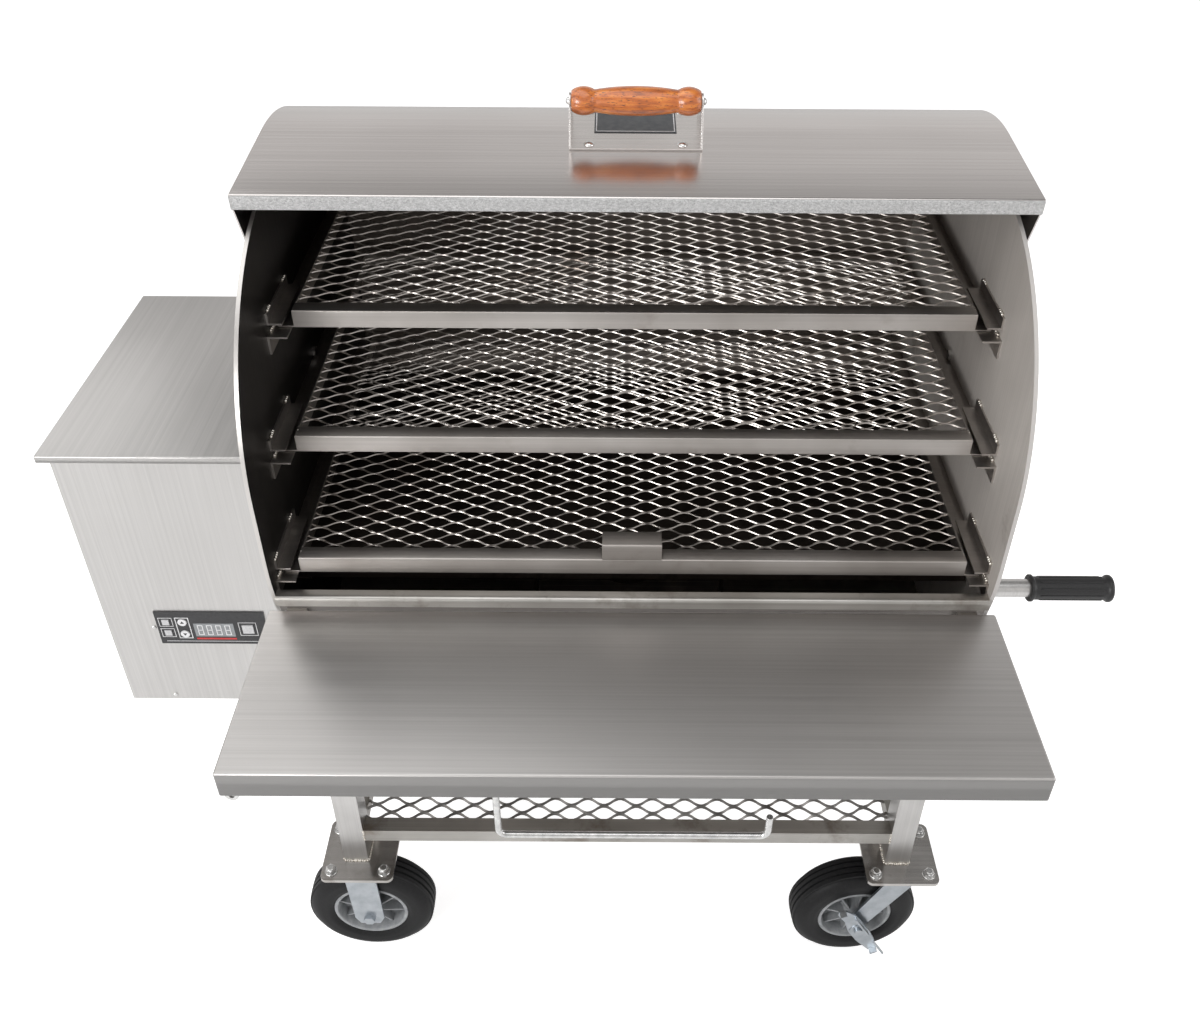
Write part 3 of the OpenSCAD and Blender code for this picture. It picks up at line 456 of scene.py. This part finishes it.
def add_weld(bm, a, b, r=2.2, step=3.2):
    """A row of overlapping scales between two points in mm from the pivot."""
    a, b = Vector(a), Vector(b)
    n = max(2, int((b - a).length / step))
    for i in range(n):
        shake = Vector((rnd.uniform(-0.3, 0.3), rnd.uniform(-0.3, 0.3), rnd.uniform(-0.3, 0.3)))
        place = Matrix.Translation(P(*(a.lerp(b, (i + 0.5) / n) + shake)))
        size = r * rnd.uniform(0.85, 1.15) / 1000
        bmesh.ops.create_icosphere(bm, subdivisions=1, radius=size, matrix=place)


def expanded(name, box, z, pitch, strand, mat, body, lean=32.0):
    """Expanded metal: wavy strands along X that meet at the bonds, each leaning the same way.

    box is x0, x1, y0, y1; pitch is a diamond's length and width; strand is its width and thickness.
    """
    x0, x1, y0, y1 = box
    wide, thick = strand
    points_per_diamond = 12
    bm = bmesh.new()
    n = max(2, round((y1 - y0) / (pitch[1] / 2)))
    h = (y1 - y0) / n
    amp = h / 2 - thick * 0.12
    count = int((x1 - x0) / pitch[0] * points_per_diamond) + 1
    tilt = math.radians(lean)
    ca, sa = math.cos(tilt), math.sin(tilt)
    section = [(-wide / 2, -thick / 2), (wide / 2, -thick / 2), (wide / 2, thick / 2), (-wide / 2, thick / 2)]
    for j in range(n):
        side = 1 if j % 2 else -1
        yc = y0 + (j + 0.5) * h
        rings = []
        for k in range(count + 1):
            x = x0 + (x1 - x0) * k / count
            u = 2 * math.pi * (x - x0) / pitch[0]
            wave = 0.93 * math.asin(0.97 * math.sin(u)) / math.asin(0.97) + 0.07 * math.sin(3 * u)
            cy, cz = yc + side * amp * wave, z + side * wave * thick * 0.42
            rings.append([bm.verts.new(P(x, cy + p * ca - q * sa, cz + p * sa + q * ca)) for p, q in section])
        for a, b in zip(rings, rings[1:]):
            join_rings(bm, a, b)
        bm.faces.new(rings[0])
        bm.faces.new(rings[-1])
    return finish_mesh(name, bm, mat, body, angle=50)


# ---- racks ----------------------------------------------------------------------------------
def rack(name, top, front, depth):
    """The angle frame, expanded metal and welds of one rack; the bottom rack has a pull tab."""
    body = name + "_body"
    y0, y1, low = -front, -front + depth, top - RACK_H
    w, t = RACK_HALF, RACK_T
    bm = bmesh.new()
    for s, y in ((1, y0), (-1, y1)):
        add_prism(bm, [(y, low), (y, top - 2), (y + s * 0.6, top - 0.6), (y + s * 2, top),
                       (y + s * RACK_FLANGE, top), (y + s * RACK_FLANGE, top - t), (y + s * 2.6, top - t),
                       (y + s * t, low)], -w, w)
    f0, f1 = y0 + RACK_FLANGE, y1 - RACK_FLANGE
    for s in (-1, 1):
        add_prism(bm, [(y0 + t, low), (y0 + t, top - t), (y1 - t, top - t), (y1 - t, low)],
                  s * (w - t), s * w)
        add_prism(bm, [(f0, top - t), (f0, top), (f1, top), (f1, top - t)], s * (w - t), s * w)
        add_prism(bm, [(y0, low), (y0, low + 2), (y1, low + 2), (y1, low)], s * w, s * (w + 20))
    if name == "bottom_rack":
        add_prism(bm, [(y0, top), (y0, top + 21), (y0 + 0.8, top + 23.2), (y0 + 3, top + 24),
                       (y0 + 28, top + 24), (y0 + 28, top + 21.6), (y0 + 3.4, top + 21.6),
                       (y0 + 2.4, top + 20.6), (y0 + 2.4, top)], -39, 37)
    finish_mesh(name + "_frame", bm, RACK, body, bevel=0.5, replaces=(name,))
    expanded(name + "_mesh", (-w + 2.4, w - 2.4, y0 + 20, y1 - 20), top - 4.2, (50.8, 23.8), (3.4, 1.6), MESH,
             body, lean=-26.0)
    bm = bmesh.new()
    for s in (-1, 1):
        add_weld(bm, (s * (w - 1), y0 + 2, top - 2), (s * (w - 1), y0 + 20, top - 1), 1.6)
        add_weld(bm, (s * (w + 0.5), y0 + 4, low + 2.5), (s * (w + 0.5), y0 + 30, low + 2.5), 1.8)
    if name == "bottom_rack":
        add_weld(bm, (-37, y0 + 3.5, top + 0.5), (35, y0 + 3.5, top + 0.5), 1.4)
    finish_mesh(name + "_welds", bm, WELD, body, angle=180)


for row in RACKS:
    rack(*row)

# ---- barrel ---------------------------------------------------------------------------------
paint("left_end_plate", PLATE_L_PAINTED_SHADE, 0.8)
paint("right_end_plate", PLATE_R, 0.8)
paint("barrel_shell", BARREL)
for name in ("rack_runners", "rear_vent"):
    paint(name, RACK, 0.5)
for name in ("drip_pan", "heat_baffle"):
    paint(name, SOOT, 0.4)
for name in ("fire_pot", "auger_tube", "igniter_rod", "auger_screw", "pellet_chute", "auger_motor",
             "fan_housing"):
    paint(name, SOOT)
paint("temperature_probe", BOLT)
paint("lid_pivot_pins", BOLT, 0.5)
paint("fan_wheel", BLACK)

# sill angle with a round bend at its front
SILL_T, SILL_R = 2.4, 5.0
bend_y, bend_z = -FRONT + SILL_R, -106
sill = [(-FRONT, -115), (-FRONT, bend_z)]
sill += [(bend_y - SILL_R * math.cos(a), bend_z + SILL_R * math.sin(a)) for a in arc_angles(15, 15, 6)]
sill += [(-328, -101), (-328, -103.2), (-338.5, -103.2)]
sill += [(bend_y - 2.6 * math.cos(a), bend_z + 2.6 * math.sin(a)) for a in arc_angles(60, -30, 2)]
sill += [(-FRONT + SILL_T, bend_z), (-FRONT + SILL_T, -115)]
bm = bmesh.new()
add_prism(bm, sill, -454.8, 454.8)
finish_mesh("sill_angle", bm, RAIL, "frame", replaces=("front_sill",))

# bright edge welds where the runners and their stops meet the plates
bm = bmesh.new()
for _, top, front, _ in RACKS:
    low = top - 23.9
    for x in (-PLATE_IN, PLATE_IN):
        for y0, y1, up in ((-12, 10, 1.5), (-10, 6, 29), (70, 84, 29)):
            add_weld(bm, (x, -front + y0, low + up), (x, -front + y1, low + up), 2.6, 4)
finish_mesh("runner_welds", bm, WELD, "frame", angle=180)


# ---- lid: skin, lip and cheeks --------------------------------------------------------------
def lid_curve(g, z0, n_arc=40, n_back=22):
    """(y, z) points of the closed lid's outline grown by g, from the lip at z0 round to its back edge."""
    cy, cz = -(FRONT - CORNER), TOP - CORNER
    pts = [(-FRONT - g, z0), (-FRONT - g, (z0 + cz) / 2)]
    pts += [(cy - (CORNER + g) * math.cos(a), cz + (CORNER + g) * math.sin(a))
            for a in arc_angles(0, 90 / n_arc, n_arc + 1)]
    pts += [((TOP + g) * math.cos(a), (TOP + g) * math.sin(a))
            for a in arc_angles(90, (LID_BACK - 90) / n_back, n_back + 1)]
    return pts


LIP_R = 3.2
bend = [(LID_FRONT + LIP_R - LIP_R * math.cos(a), LIP_Z + LIP_R - LIP_R * math.sin(a))
        for a in arc_angles(90, -18, 5)]
flange = [(LID_FRONT + 4.2, LIP_Z + SKIN_T), (LIP_BACK, LIP_Z + SKIN_T), (LIP_BACK, LIP_Z)]
section = lid_curve(GAP, LIP_Z + LIP_R) + lid_curve(GAP - SKIN_T, LIP_Z + 4.2)[::-1] + flange + bend
bm = bmesh.new()
add_prism(bm, section, -LID_HALF, LID_HALF, opened)
finish_mesh("lid_skin", bm, LID, "lid", angle=30, bevel=0.5, replaces=("lid_shell",))

CHEEK_IN = LID_HALF - 2
pivot_arc = [(18 * math.cos(a), 18 * math.sin(a)) for a in arc_angles(205, 20, 11)]
cheek = lid_curve(GAP - 2.6, LIP_Z + 2.6) + pivot_arc[::-1] + [(LIP_BACK, LIP_Z + 2.6)]
bm = bmesh.new()
for s in (-1, 1):
    add_prism(bm, cheek, s * CHEEK_IN, s * (LID_HALF - 0.02), opened)
finish_mesh("lid_cheeks", bm, LID, "lid", angle=30)

tape = [(LID_FRONT + 1, LIP_Z), (LID_FRONT + 0.6, LIP_Z - 1.5), (LID_FRONT + 1.6, LID_LOW),
        (LIP_BACK - 2, LID_LOW), (LIP_BACK - 0.8, LIP_Z - 1.5), (LIP_BACK - 1, LIP_Z)]
bm = bmesh.new()
add_prism(bm, tape, -LID_HALF + 1, LID_HALF - 1, opened)
finish_mesh("lip_tape", bm, TAPE, "lid", replaces=("lid_gasket",))

bm = bmesh.new()
for s in (-1, 1):
    for y, z in lid_curve(GAP - 3.2, LIP_Z + 6)[4:-2:6]:
        place = Matrix.Translation(P(*opened((s * (CHEEK_IN - 1), y, z))))
        bmesh.ops.create_icosphere(bm, subdivisions=1, radius=0.0022, matrix=place)
finish_mesh("cheek_welds", bm, WELD, "lid", angle=180)

# ---- lid handle -----------------------------------------------------------------------------
BRACKET_FACE = LID_FRONT - 2.5
ROD_CAP = [(0, 4.2), (2, 4), (3.8, 2.8), (4.5, 1.2), (4.6, 0), (0, 0)]
DOME_SCREW = [(0, 3.4), (3.2, 3.0), (5.6, 1.8), (6.8, 0.4), (6.9, 0), (0, 0)]
PAN_SCREW = [(0, 2.9), (2.2, 2.7), (3.5, 1.6), (4, 0.3), (4, 0), (0, 0)]

base = [(LID_FRONT, BRACKET_Z0), (BRACKET_FACE, BRACKET_Z0), (BRACKET_FACE, BRACKET_Z1),
        (LID_FRONT, BRACKET_Z1)]
ear = [(LID_FRONT - 2.4, BRACKET_Z0), (LID_FRONT - 2.4, BRACKET_Z1 - 22)]
ear += [(GRIP_Y + 10 * math.cos(a), GRIP_Z + 10 * math.sin(a)) for a in arc_angles(62, 12, 20)]
bm = bmesh.new()
add_prism(bm, base, -EAR_OUT, EAR_OUT, opened)
for s in (-1, 1):
    add_prism(bm, ear, s * EAR_IN, s * EAR_OUT, opened)
finish_mesh("bracket_sheet", bm, BRACKET, "lid", angle=40, bevel=0.6,
            replaces=("handle_bracket",))


def grip_profile(bore, steps=120):
    """(radius, distance) points of the turned grip: a ball at each end and a swelling between them."""
    prof = [(bore, -GRIP_HALF)]
    for k in range(steps + 1):
        h = (k / (steps / 2) - 1) * GRIP_HALF
        from_end = GRIP_HALF - abs(h)
        ball, belly = 0, 0
        if from_end < 34:
            ball = 17.3 * math.sqrt(max(0.0, 1 - ((from_end - 15) / 21.5) ** 2))
        if from_end > 26:
            belly = 17.8 - 4.2 * ((GRIP_HALF - from_end) / 51.0) ** 2
        prof.append((max(ball, belly), h))
    return prof + [(bore, GRIP_HALF)]


grip_axis = P(*opened((0, GRIP_Y, GRIP_Z)))
bm = bmesh.new()
add_lathe(bm, grip_profile(4.05), grip_axis, (1, 0, 0), 64, close=True)
finish_mesh("turned_grip", bm, WOOD, "lid", angle=60, replaces=("wood_handle",))

bm = bmesh.new()
for s in (-1, 1):
    add_lathe(bm, ROD_CAP, P(*opened((s * EAR_OUT, GRIP_Y, GRIP_Z))), (s, 0, 0), 32)
for x in (-58, 58):
    for z in (BRACKET_Z0 + 13, BRACKET_Z1 - 10):
        add_lathe(bm, DOME_SCREW, P(*opened((x, BRACKET_FACE, z))), opened((0, -1, 0)), 36)
finish_mesh("handle_screws", bm, BOLT, "lid", replaces=("handle_fasteners",))

rod_end = GRIP_HALF + 3
bm = bmesh.new()
add_lathe(bm, [(0, -rod_end), (3.9, -rod_end), (3.9, rod_end), (0, rod_end)], grip_axis, (1, 0, 0), 20)
finish_mesh("handle_rod", bm, DARK_BOLT, "lid")

# blank name plate with a thin raised border
name_z0, name_z1, name_half = LID_LOW + 164, LID_LOW + 224, 52
name_face = BRACKET_FACE - 1.0
bm = bmesh.new()
add_prism(bm, [(BRACKET_FACE, name_z0), (name_face, name_z0), (name_face, name_z1), (BRACKET_FACE, name_z1)],
          -name_half, name_half, opened)
finish_mesh("blank_plate", bm, NAME_FACE, "lid", bevel=0.3, replaces=("name_plate",))
bm = bmesh.new()
for z0, z1, x0, x1 in ((name_z0 + 2, name_z0 + 3.2, -50, 50), (name_z1 - 3.2, name_z1 - 2, -50, 50),
                       (name_z0 + 3.2, name_z1 - 3.2, -50, -48.8), (name_z0 + 3.2, name_z1 - 3.2, 48.8, 50)):
    add_prism(bm, [(name_face, z0), (name_face - 0.25, z0), (name_face - 0.25, z1), (name_face, z1)],
              x0, x1, opened)
finish_mesh("plate_border", bm, PALE, "lid")

# ---- front shelf, arms, opener, towel rod ---------------------------------------------------
tray("work_shelf", (-SHELF_HALF, SHELF_FRONT, SHELF_TOP - 37.5), (SHELF_HALF, SHELF_BACK, SHELF_TOP),
     2.0, 3.2, SHELF, "frame", replaces=("front_shelf",))
paint("shelf_arms", RAIL, 0.8)
bm = bmesh.new()
add_lathe(bm, [(3.6, 0), (8, 0), (8, 3), (3.6, 3)], P(-454.5, SHELF_FRONT + 2, SHELF_TOP - 40.5),
          (0, 1, 0), 40, close=True)
finish_mesh("opener_tab", bm, BOLT, "frame", bevel=0.4)

rod_y, rod_z, rod_bend, rod_x0, rod_x1 = SHELF_FRONT + 8, -245.0, 10.0, -157, 158
pts = [P(rod_x0, rod_y, SHELF_TOP - 4), P(rod_x0, rod_y, rod_z + rod_bend)]
pts += [P(rod_x0 + rod_bend - rod_bend * math.cos(a), rod_y, rod_z + rod_bend - rod_bend * math.sin(a))
        for a in arc_angles(15, 15, 6)]
pts += [P(rod_x1 - rod_bend + rod_bend * math.sin(a), rod_y, rod_z + rod_bend - rod_bend * math.cos(a))
        for a in arc_angles(0, 15, 7)]
pts += [P(rod_x1, rod_y, rod_z + rod_bend + 26)]
bm = bmesh.new()
add_tube(bm, pts, 4, 16)
finish_mesh("towel_rod", bm, BOLT, "frame", angle=50, bevel=0.6, replaces=("towel_holder",))

# ---- hopper ---------------------------------------------------------------------------------
paint("hopper_body", HOPPER, 1.2, 3)
tray("hopper_cover_sheet", (-768, -229, 25), (-482, 200, 35), 1.5, 2.2, HOPPER_TOP, "hopper_cover",
     replaces=("hopper_lid",))
bm = bmesh.new()
add_lathe(bm, [(2.6, -740), (4, -740), (4, -493), (2.6, -493)], P(0, 196, 22), (1, 0, 0), 24, close=True)
add_box(bm, (-740, 197.5, 24), (-493, 199.5, 34))
finish_mesh("hopper_cover_knuckle", bm, HOPPER_TOP, "hopper_cover")
paint("power_inlet", BLACK, 0.5)
bm = bmesh.new()
for x in (-690, -518):
    for z in (-280, -422):
        add_lathe(bm, PAN_SCREW, P(x, HOPPER_FRONT, z), (0, -1, 0), 24)
for z in (-130, -380):
    add_lathe(bm, PAN_SCREW, P(HOPPER_LEFT, -205, z), (-1, 0, 0), 24)
finish_mesh("hopper_screws", bm, BOLT, "frame", replaces=("panel_screws",))

# controller face: window, outlines and generic marks, each a thin layer on the panel
paint("controller_panel", BLACK, 0.8)
PANEL_Y = HOPPER_FRONT - 2.0
WINDOW_T = 0.6


def flat(bm, x0, x1, z0, z1, t, on=PANEL_Y):
    """A layer of thickness t on the face at y = on."""
    add_box(bm, (x0, on - t, z0), (x1, on, z1))


def outline(bm, x0, x1, z0, z1, w, t=0.25):
    """A rectangular line of width w."""
    flat(bm, x0, x1, z0, z0 + w, t)
    flat(bm, x0, x1, z1 - w, z1, t)
    flat(bm, x0, x0 + w, z0 + w, z1 - w, t)
    flat(bm, x1 - w, x1, z0 + w, z1 - w, t)


bm = bmesh.new()
outline(bm, -680, -660, -276.5, -259.5, 0.8)
outline(bm, -680, -660, -297.5, -280.5, 0.8)
outline(bm, -656, -636, -300, -259, 1.2)
outline(bm, -566, -540, -294, -268, 0.8)
flat(bm, -676, -540, -306.2, -305.4, 0.2)
finish_mesh("panel_outlines", bm, PALE, "frame")
bm = bmesh.new()
flat(bm, -631, -573, -296, -270, WINDOW_T)
finish_mesh("panel_window", bm, DISPLAY, "frame", bevel=0.3)
bm = bmesh.new()
flat(bm, -631, -573, -302, -299, 0.25)
finish_mesh("panel_red_line", bm, RED, "frame")

# four figures of the display, each made of three level bars and two upright ones
bm = bmesh.new()
for i in range(4):
    x = -626 + i * 13.2
    for x0, x1, z0, z1 in ((x, x + 8, -274.5, -273.3), (x, x + 8, -283.6, -282.4), (x, x + 8, -292.7, -291.5),
                           (x, x + 1.2, -291.5, -274.5), (x + 6.8, x + 8, -291.5, -274.5)):
        flat(bm, x0, x1, z0, z1, 0.15, PANEL_Y - WINDOW_T)
finish_mesh("panel_digits", bm, PALE, "frame")

for name in ("power_key", "menu_key", "select_key"):
    paint(name, GREY_KEY, 0.4)
for name in ("up_key", "down_key"):
    paint(name, PALE, 0.4)
for name, z, up in (("up", -268, 1), ("down", -291, -1)):
    bm = bmesh.new()
    add_corners(bm, [P(-646 + dx, HOPPER_FRONT - 3.2 - t, z + up * dz) for t in (0, 0.2)
                     for dx, dz in ((-3, -1.8), (3, -1.8), (0, 2.6))], WEDGE_FACES)
    finish_mesh(name + "_arrow", bm, BLACK, name + "_button")

# ---- push handle: tube, and a grip with ten ribs ----------------------------------------------
paint("push_handle_tube", LEG, 0.4)
GRIP_R = 16.3
grip_start = P(549, -235, -176)
prof = [(12.8, 0), (18, 0), (19, 1), (19, 4), (17.4, 5.5), (GRIP_R, 6.5), (GRIP_R, 8), (GRIP_R, 104),
        (16.4, 105), (18.2, 107), (19, 108.5), (19, 111.5), (17.8, 113.4), (15, 114), (0, 114), (0, 107),
        (12.8, 107)]
bm = bmesh.new()
add_lathe(bm, prof, grip_start, (1, 0, 0), 48, close=True)
for a in arc_angles(0, 36, 10):
    side = Vector((0, math.cos(a), math.sin(a))) * (GRIP_R / 1000)
    add_tube(bm, [grip_start + Vector((x, 0, 0)) + side for x in (0.014, 0.100)], 1.1, 8)
finish_mesh("push_grip", bm, GRIP, "frame", angle=50, replaces=("handle_grip",))

# ---- cart -----------------------------------------------------------------------------------
paint("cart_legs", LEG, 1.6, 3)
paint("cart_rails", RAIL, 1.2, 3)
cart_mesh = expanded("cart_mesh", (-414, 414, -288, 288), -PIVOT_Z + 306.5, (52, 29.4), (4.6, 2.2),
                     SHELF_MESH, "frame")
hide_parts("lower_shelf_mesh")
paint("caster_plates", CASTER_PLATE, 1.0)

WASHER = [(0, 1.4), (9.6, 1.4), (10, 1.0), (10, 0), (0, 0)]
BOLT_TIP = [(0, 2.6), (4.6, 2.6), (5, 2), (5, 0), (0, 0)]
BOLT_SHANK = [(0, -14), (5, -14), (5, 0), (0, 0)]
UP = (0, 0, 1)
bolts = bmesh.new()
welds = bmesh.new()
for sx in (-1, 1):
    for sy in (-1, 1):
        lx, cx, cy, z = sx * LEG_X, sx * LEG_X + CASTER_DX, sy * LEG_Y, PLATE_TOP
        for dx in (-42, 42):
            for dy in (-39, 39):
                o = P(cx + dx, cy + dy, z)
                add_lathe(bolts, WASHER, o, UP, 32)
                add_hex(bolts, o + Vector((0, 0, 0.0014)), UP, 14.5, 6.4, rnd.uniform(0, 1))
                add_lathe(bolts, BOLT_TIP, o + Vector((0, 0, 0.0074)), UP, 20)
                add_lathe(bolts, BOLT_SHANK, o, UP, 16)
        for s in (-1, 1):
            add_weld(welds, (lx - 19, cy + s * 20, z + 1), (lx + 19, cy + s * 20, z + 1), 2.4)
            add_weld(welds, (lx + s * 20, cy - 19, z + 1), (lx + s * 20, cy + 19, z + 1), 2.4)
        rail_x, rail_y = lx - sx * 19.6, cy + sy * 19
        add_weld(welds, (rail_x, rail_y, z + 53), (rail_x, rail_y, z + 77), 2.0, 3.0)
finish_mesh("plate_bolts", bolts, BOLT, "frame", replaces=("caster_bolts",))
finish_mesh("cart_welds", welds, WELD, "frame", angle=180)
for name in ("rigid_forks", "front_right_fork", "rear_right_fork"):
    paint(name, ZINC, 0.8)


# ---- wheels ---------------------------------------------------------------------------------
def mirrored(side, between=()):
    """The (radius, distance) points of one side, those between, and the same side mirrored."""
    return side + list(between) + [(r, -h) for r, h in side[::-1]]


def wheel(tag, x, y, turn, body):
    """Ribbed tyre on a spoked hub; the axle lies along Y turned by the angle turn."""
    centre = P(x, y, -PIVOT_Z + WHEEL_R)
    axle = Vector((-math.sin(turn), math.cos(turn), 0))
    wall = [(61.5, -25), (66, -28), (72, -29.6), (76, -28.8), (80, -29.4), (88, -28.4), (95, -24.2),
            (99, -20)]
    tread = []
    for c, low in ((-14.7, 0.9), (-4.9, 0.0), (4.9, 0.0), (14.7, 0.9)):
        tread += [(99.8 - low * 0.6, c - 4.2), (WHEEL_R - low, c - 3.2), (WHEEL_R - low * 0.4, c),
                  (WHEEL_R - low, c + 3.2), (99.8 - low * 0.6, c + 4.2)]
    bm = bmesh.new()
    add_lathe(bm, mirrored(wall, tread), centre, axle, 112, close=True)
    finish_mesh(tag + "_tyre_ribbed", bm, TYRE, body, angle=34, replaces=(tag + "_tyre",))

    rim = mirrored([(54.5, -23), (56, -25), (60.5, -25), (61.8, -23)]) + [(53, 8), (53, -8)]
    bearing = mirrored([(6.1, -30.8), (15, -30.8), (16.8, -29), (17, -8), (20, -3)])
    web = [(19, -1.6), (54, -1.6), (54, 1.6), (19, 1.6)]
    bm = bmesh.new()
    for prof, seg in ((rim, 96), (bearing, 48), (web, 72)):
        add_lathe(bm, prof, centre, axle, seg, close=True)
    u = axle.orthogonal().normalized()
    v = axle.cross(u)
    spoke_ends = ((0.0155, 0.021), (0.0545, 0.015))
    for a in arc_angles(12, 45, 8):
        out = u * math.cos(a) + v * math.sin(a)
        across = -u * math.sin(a) + v * math.cos(a)
        add_corners(bm, [centre + out * r + across * s * 0.0016 + axle * h for r, half in spoke_ends
                         for s in (-1, 1) for h in (-half, half)], BOX_FACES)
    finish_mesh(tag + "_hub_spoked", bm, HUB, body, bevel=0.5, replaces=(tag + "_hub",))


for tag, y in (("front_left", -LEG_Y), ("rear_left", LEG_Y)):
    wheel(tag, -LEG_X + CASTER_DX + RIGID_DX, y, 0, tag + "_wheel")
for tag, y in (("front_right", -LEG_Y), ("rear_right", LEG_Y)):
    turn = math.radians(SWIVEL_DEG)
    wheel(tag, LEG_X + CASTER_DX - TRAIL * math.cos(turn), y - TRAIL * math.sin(turn), turn, tag + "_wheel")
    paint(tag + "_brake", ZINC, 0.6)

# ---- studio: the world is white to the camera, and a soft gradient in reflections -------------
world = bpy.data.worlds.new("studio")
bpy.context.scene.world = world
world.use_nodes = True
tree = world.node_tree
coords = tree.nodes.new("ShaderNodeTexCoord")
axes = tree.nodes.new("ShaderNodeSeparateXYZ")
link(tree, coords.outputs["Generated"], axes.inputs["Vector"])
sky = ramp(tree, spread(tree, axes.outputs["Z"], 0.0, 1.0, start=-1),
           [(0.35, (0.60, 0.60, 0.60)), (0.52, (0.72, 0.71, 0.70)), (0.72, (0.80, 0.78, 0.77)),
            (0.80, (0.60, 0.59, 0.58)), (0.90, (0.25, 0.247, 0.244)), (1.0, (0.30, 0.297, 0.294))])
rays = tree.nodes.new("ShaderNodeLightPath")
background = tree.nodes["Background"]
link(tree, mix(tree, rays.outputs["Is Camera Ray"], sky, (1, 1, 1)), background.inputs["Color"])
background.inputs["Strength"].default_value = 1.0

# floor: half a millimetre under the wheels, brighter to the camera than in reflections
FLOOR_HALF = 9
bm = bmesh.new()
bm.faces.new([bm.verts.new((sx * FLOOR_HALF, sy * FLOOR_HALF, -0.0005))
              for sx, sy in ((-1, -1), (1, -1), (1, 1), (-1, 1))])
mesh = bpy.data.meshes.new("floor")
bm.to_mesh(mesh)
bm.free()
floor = bpy.data.objects.new("floor", mesh)
bpy.context.scene.collection.objects.link(floor)
mat, tree, bsdf = new_material("pale_floor")
bsdf.inputs["Base Color"].default_value = (0.86, 0.86, 0.86, 1)
bsdf.inputs["Roughness"].default_value = 0.9
bsdf.inputs["Specular IOR Level"].default_value = 0.0
bsdf.inputs["Emission Color"].default_value = (1, 1, 1, 1)
rays = tree.nodes.new("ShaderNodeLightPath")
link(tree, spread(tree, rays.outputs["Is Camera Ray"], 0.14, 0.62), bsdf.inputs["Emission Strength"])
mesh.materials.append(mat)


def area(name, loc, target, size_x, size_y, power):
    """A rectangular light at loc that shines at target."""
    light = bpy.data.lights.new(name, "AREA")
    light.energy = power
    light.shape = "RECTANGLE"
    light.size = size_x
    light.size_y = size_y
    ob = bpy.data.objects.new(name, light)
    ob.location = loc
    ob.rotation_euler = (Vector(target) - Vector(loc)).to_track_quat("-Z", "Y").to_euler()
    bpy.context.scene.collection.objects.link(ob)


area("key_above", (-0.6, -0.6, 4.6), (0, 0, 0.8), 5.0, 2.8, 70)
area("left_back_soft", (-2.7, 2.0, 3.5), (-0.2, -0.4, 0.8), 2.3, 2.3, 13)
area("left_soft", (-3.6, -1.6, 2.6), (0, 0, 0.8), 2.4, 2.8, 28)
area("front_left_soft", (-1.9, -2.5, 1.75), (0.35, 0.05, 1.05), 1.1, 1.1, 42)
area("right_soft", (3.6, -1.2, 2.4), (0, 0, 0.8), 2.4, 2.8, 40)

camera = bpy.data.cameras.new("camera")
camera.sensor_width = 36
camera.lens = 34.653
camera.shift_x = -0.01075
camera.shift_y = -0.03125
camera.clip_end = 60
camera_object = bpy.data.objects.new("camera", camera)
camera_object.matrix_world = (Matrix.Translation((0.0266, -1.2989, 1.853)) @
                              Matrix.Rotation(math.radians(53.07), 4, "X") @
                              Matrix.Rotation(math.radians(0.351), 4, "Z"))
scene = bpy.context.scene
scene.collection.objects.link(camera_object)
scene.camera = camera_object
scene.view_settings.view_transform = "Standard"
scene.view_settings.look = "None"
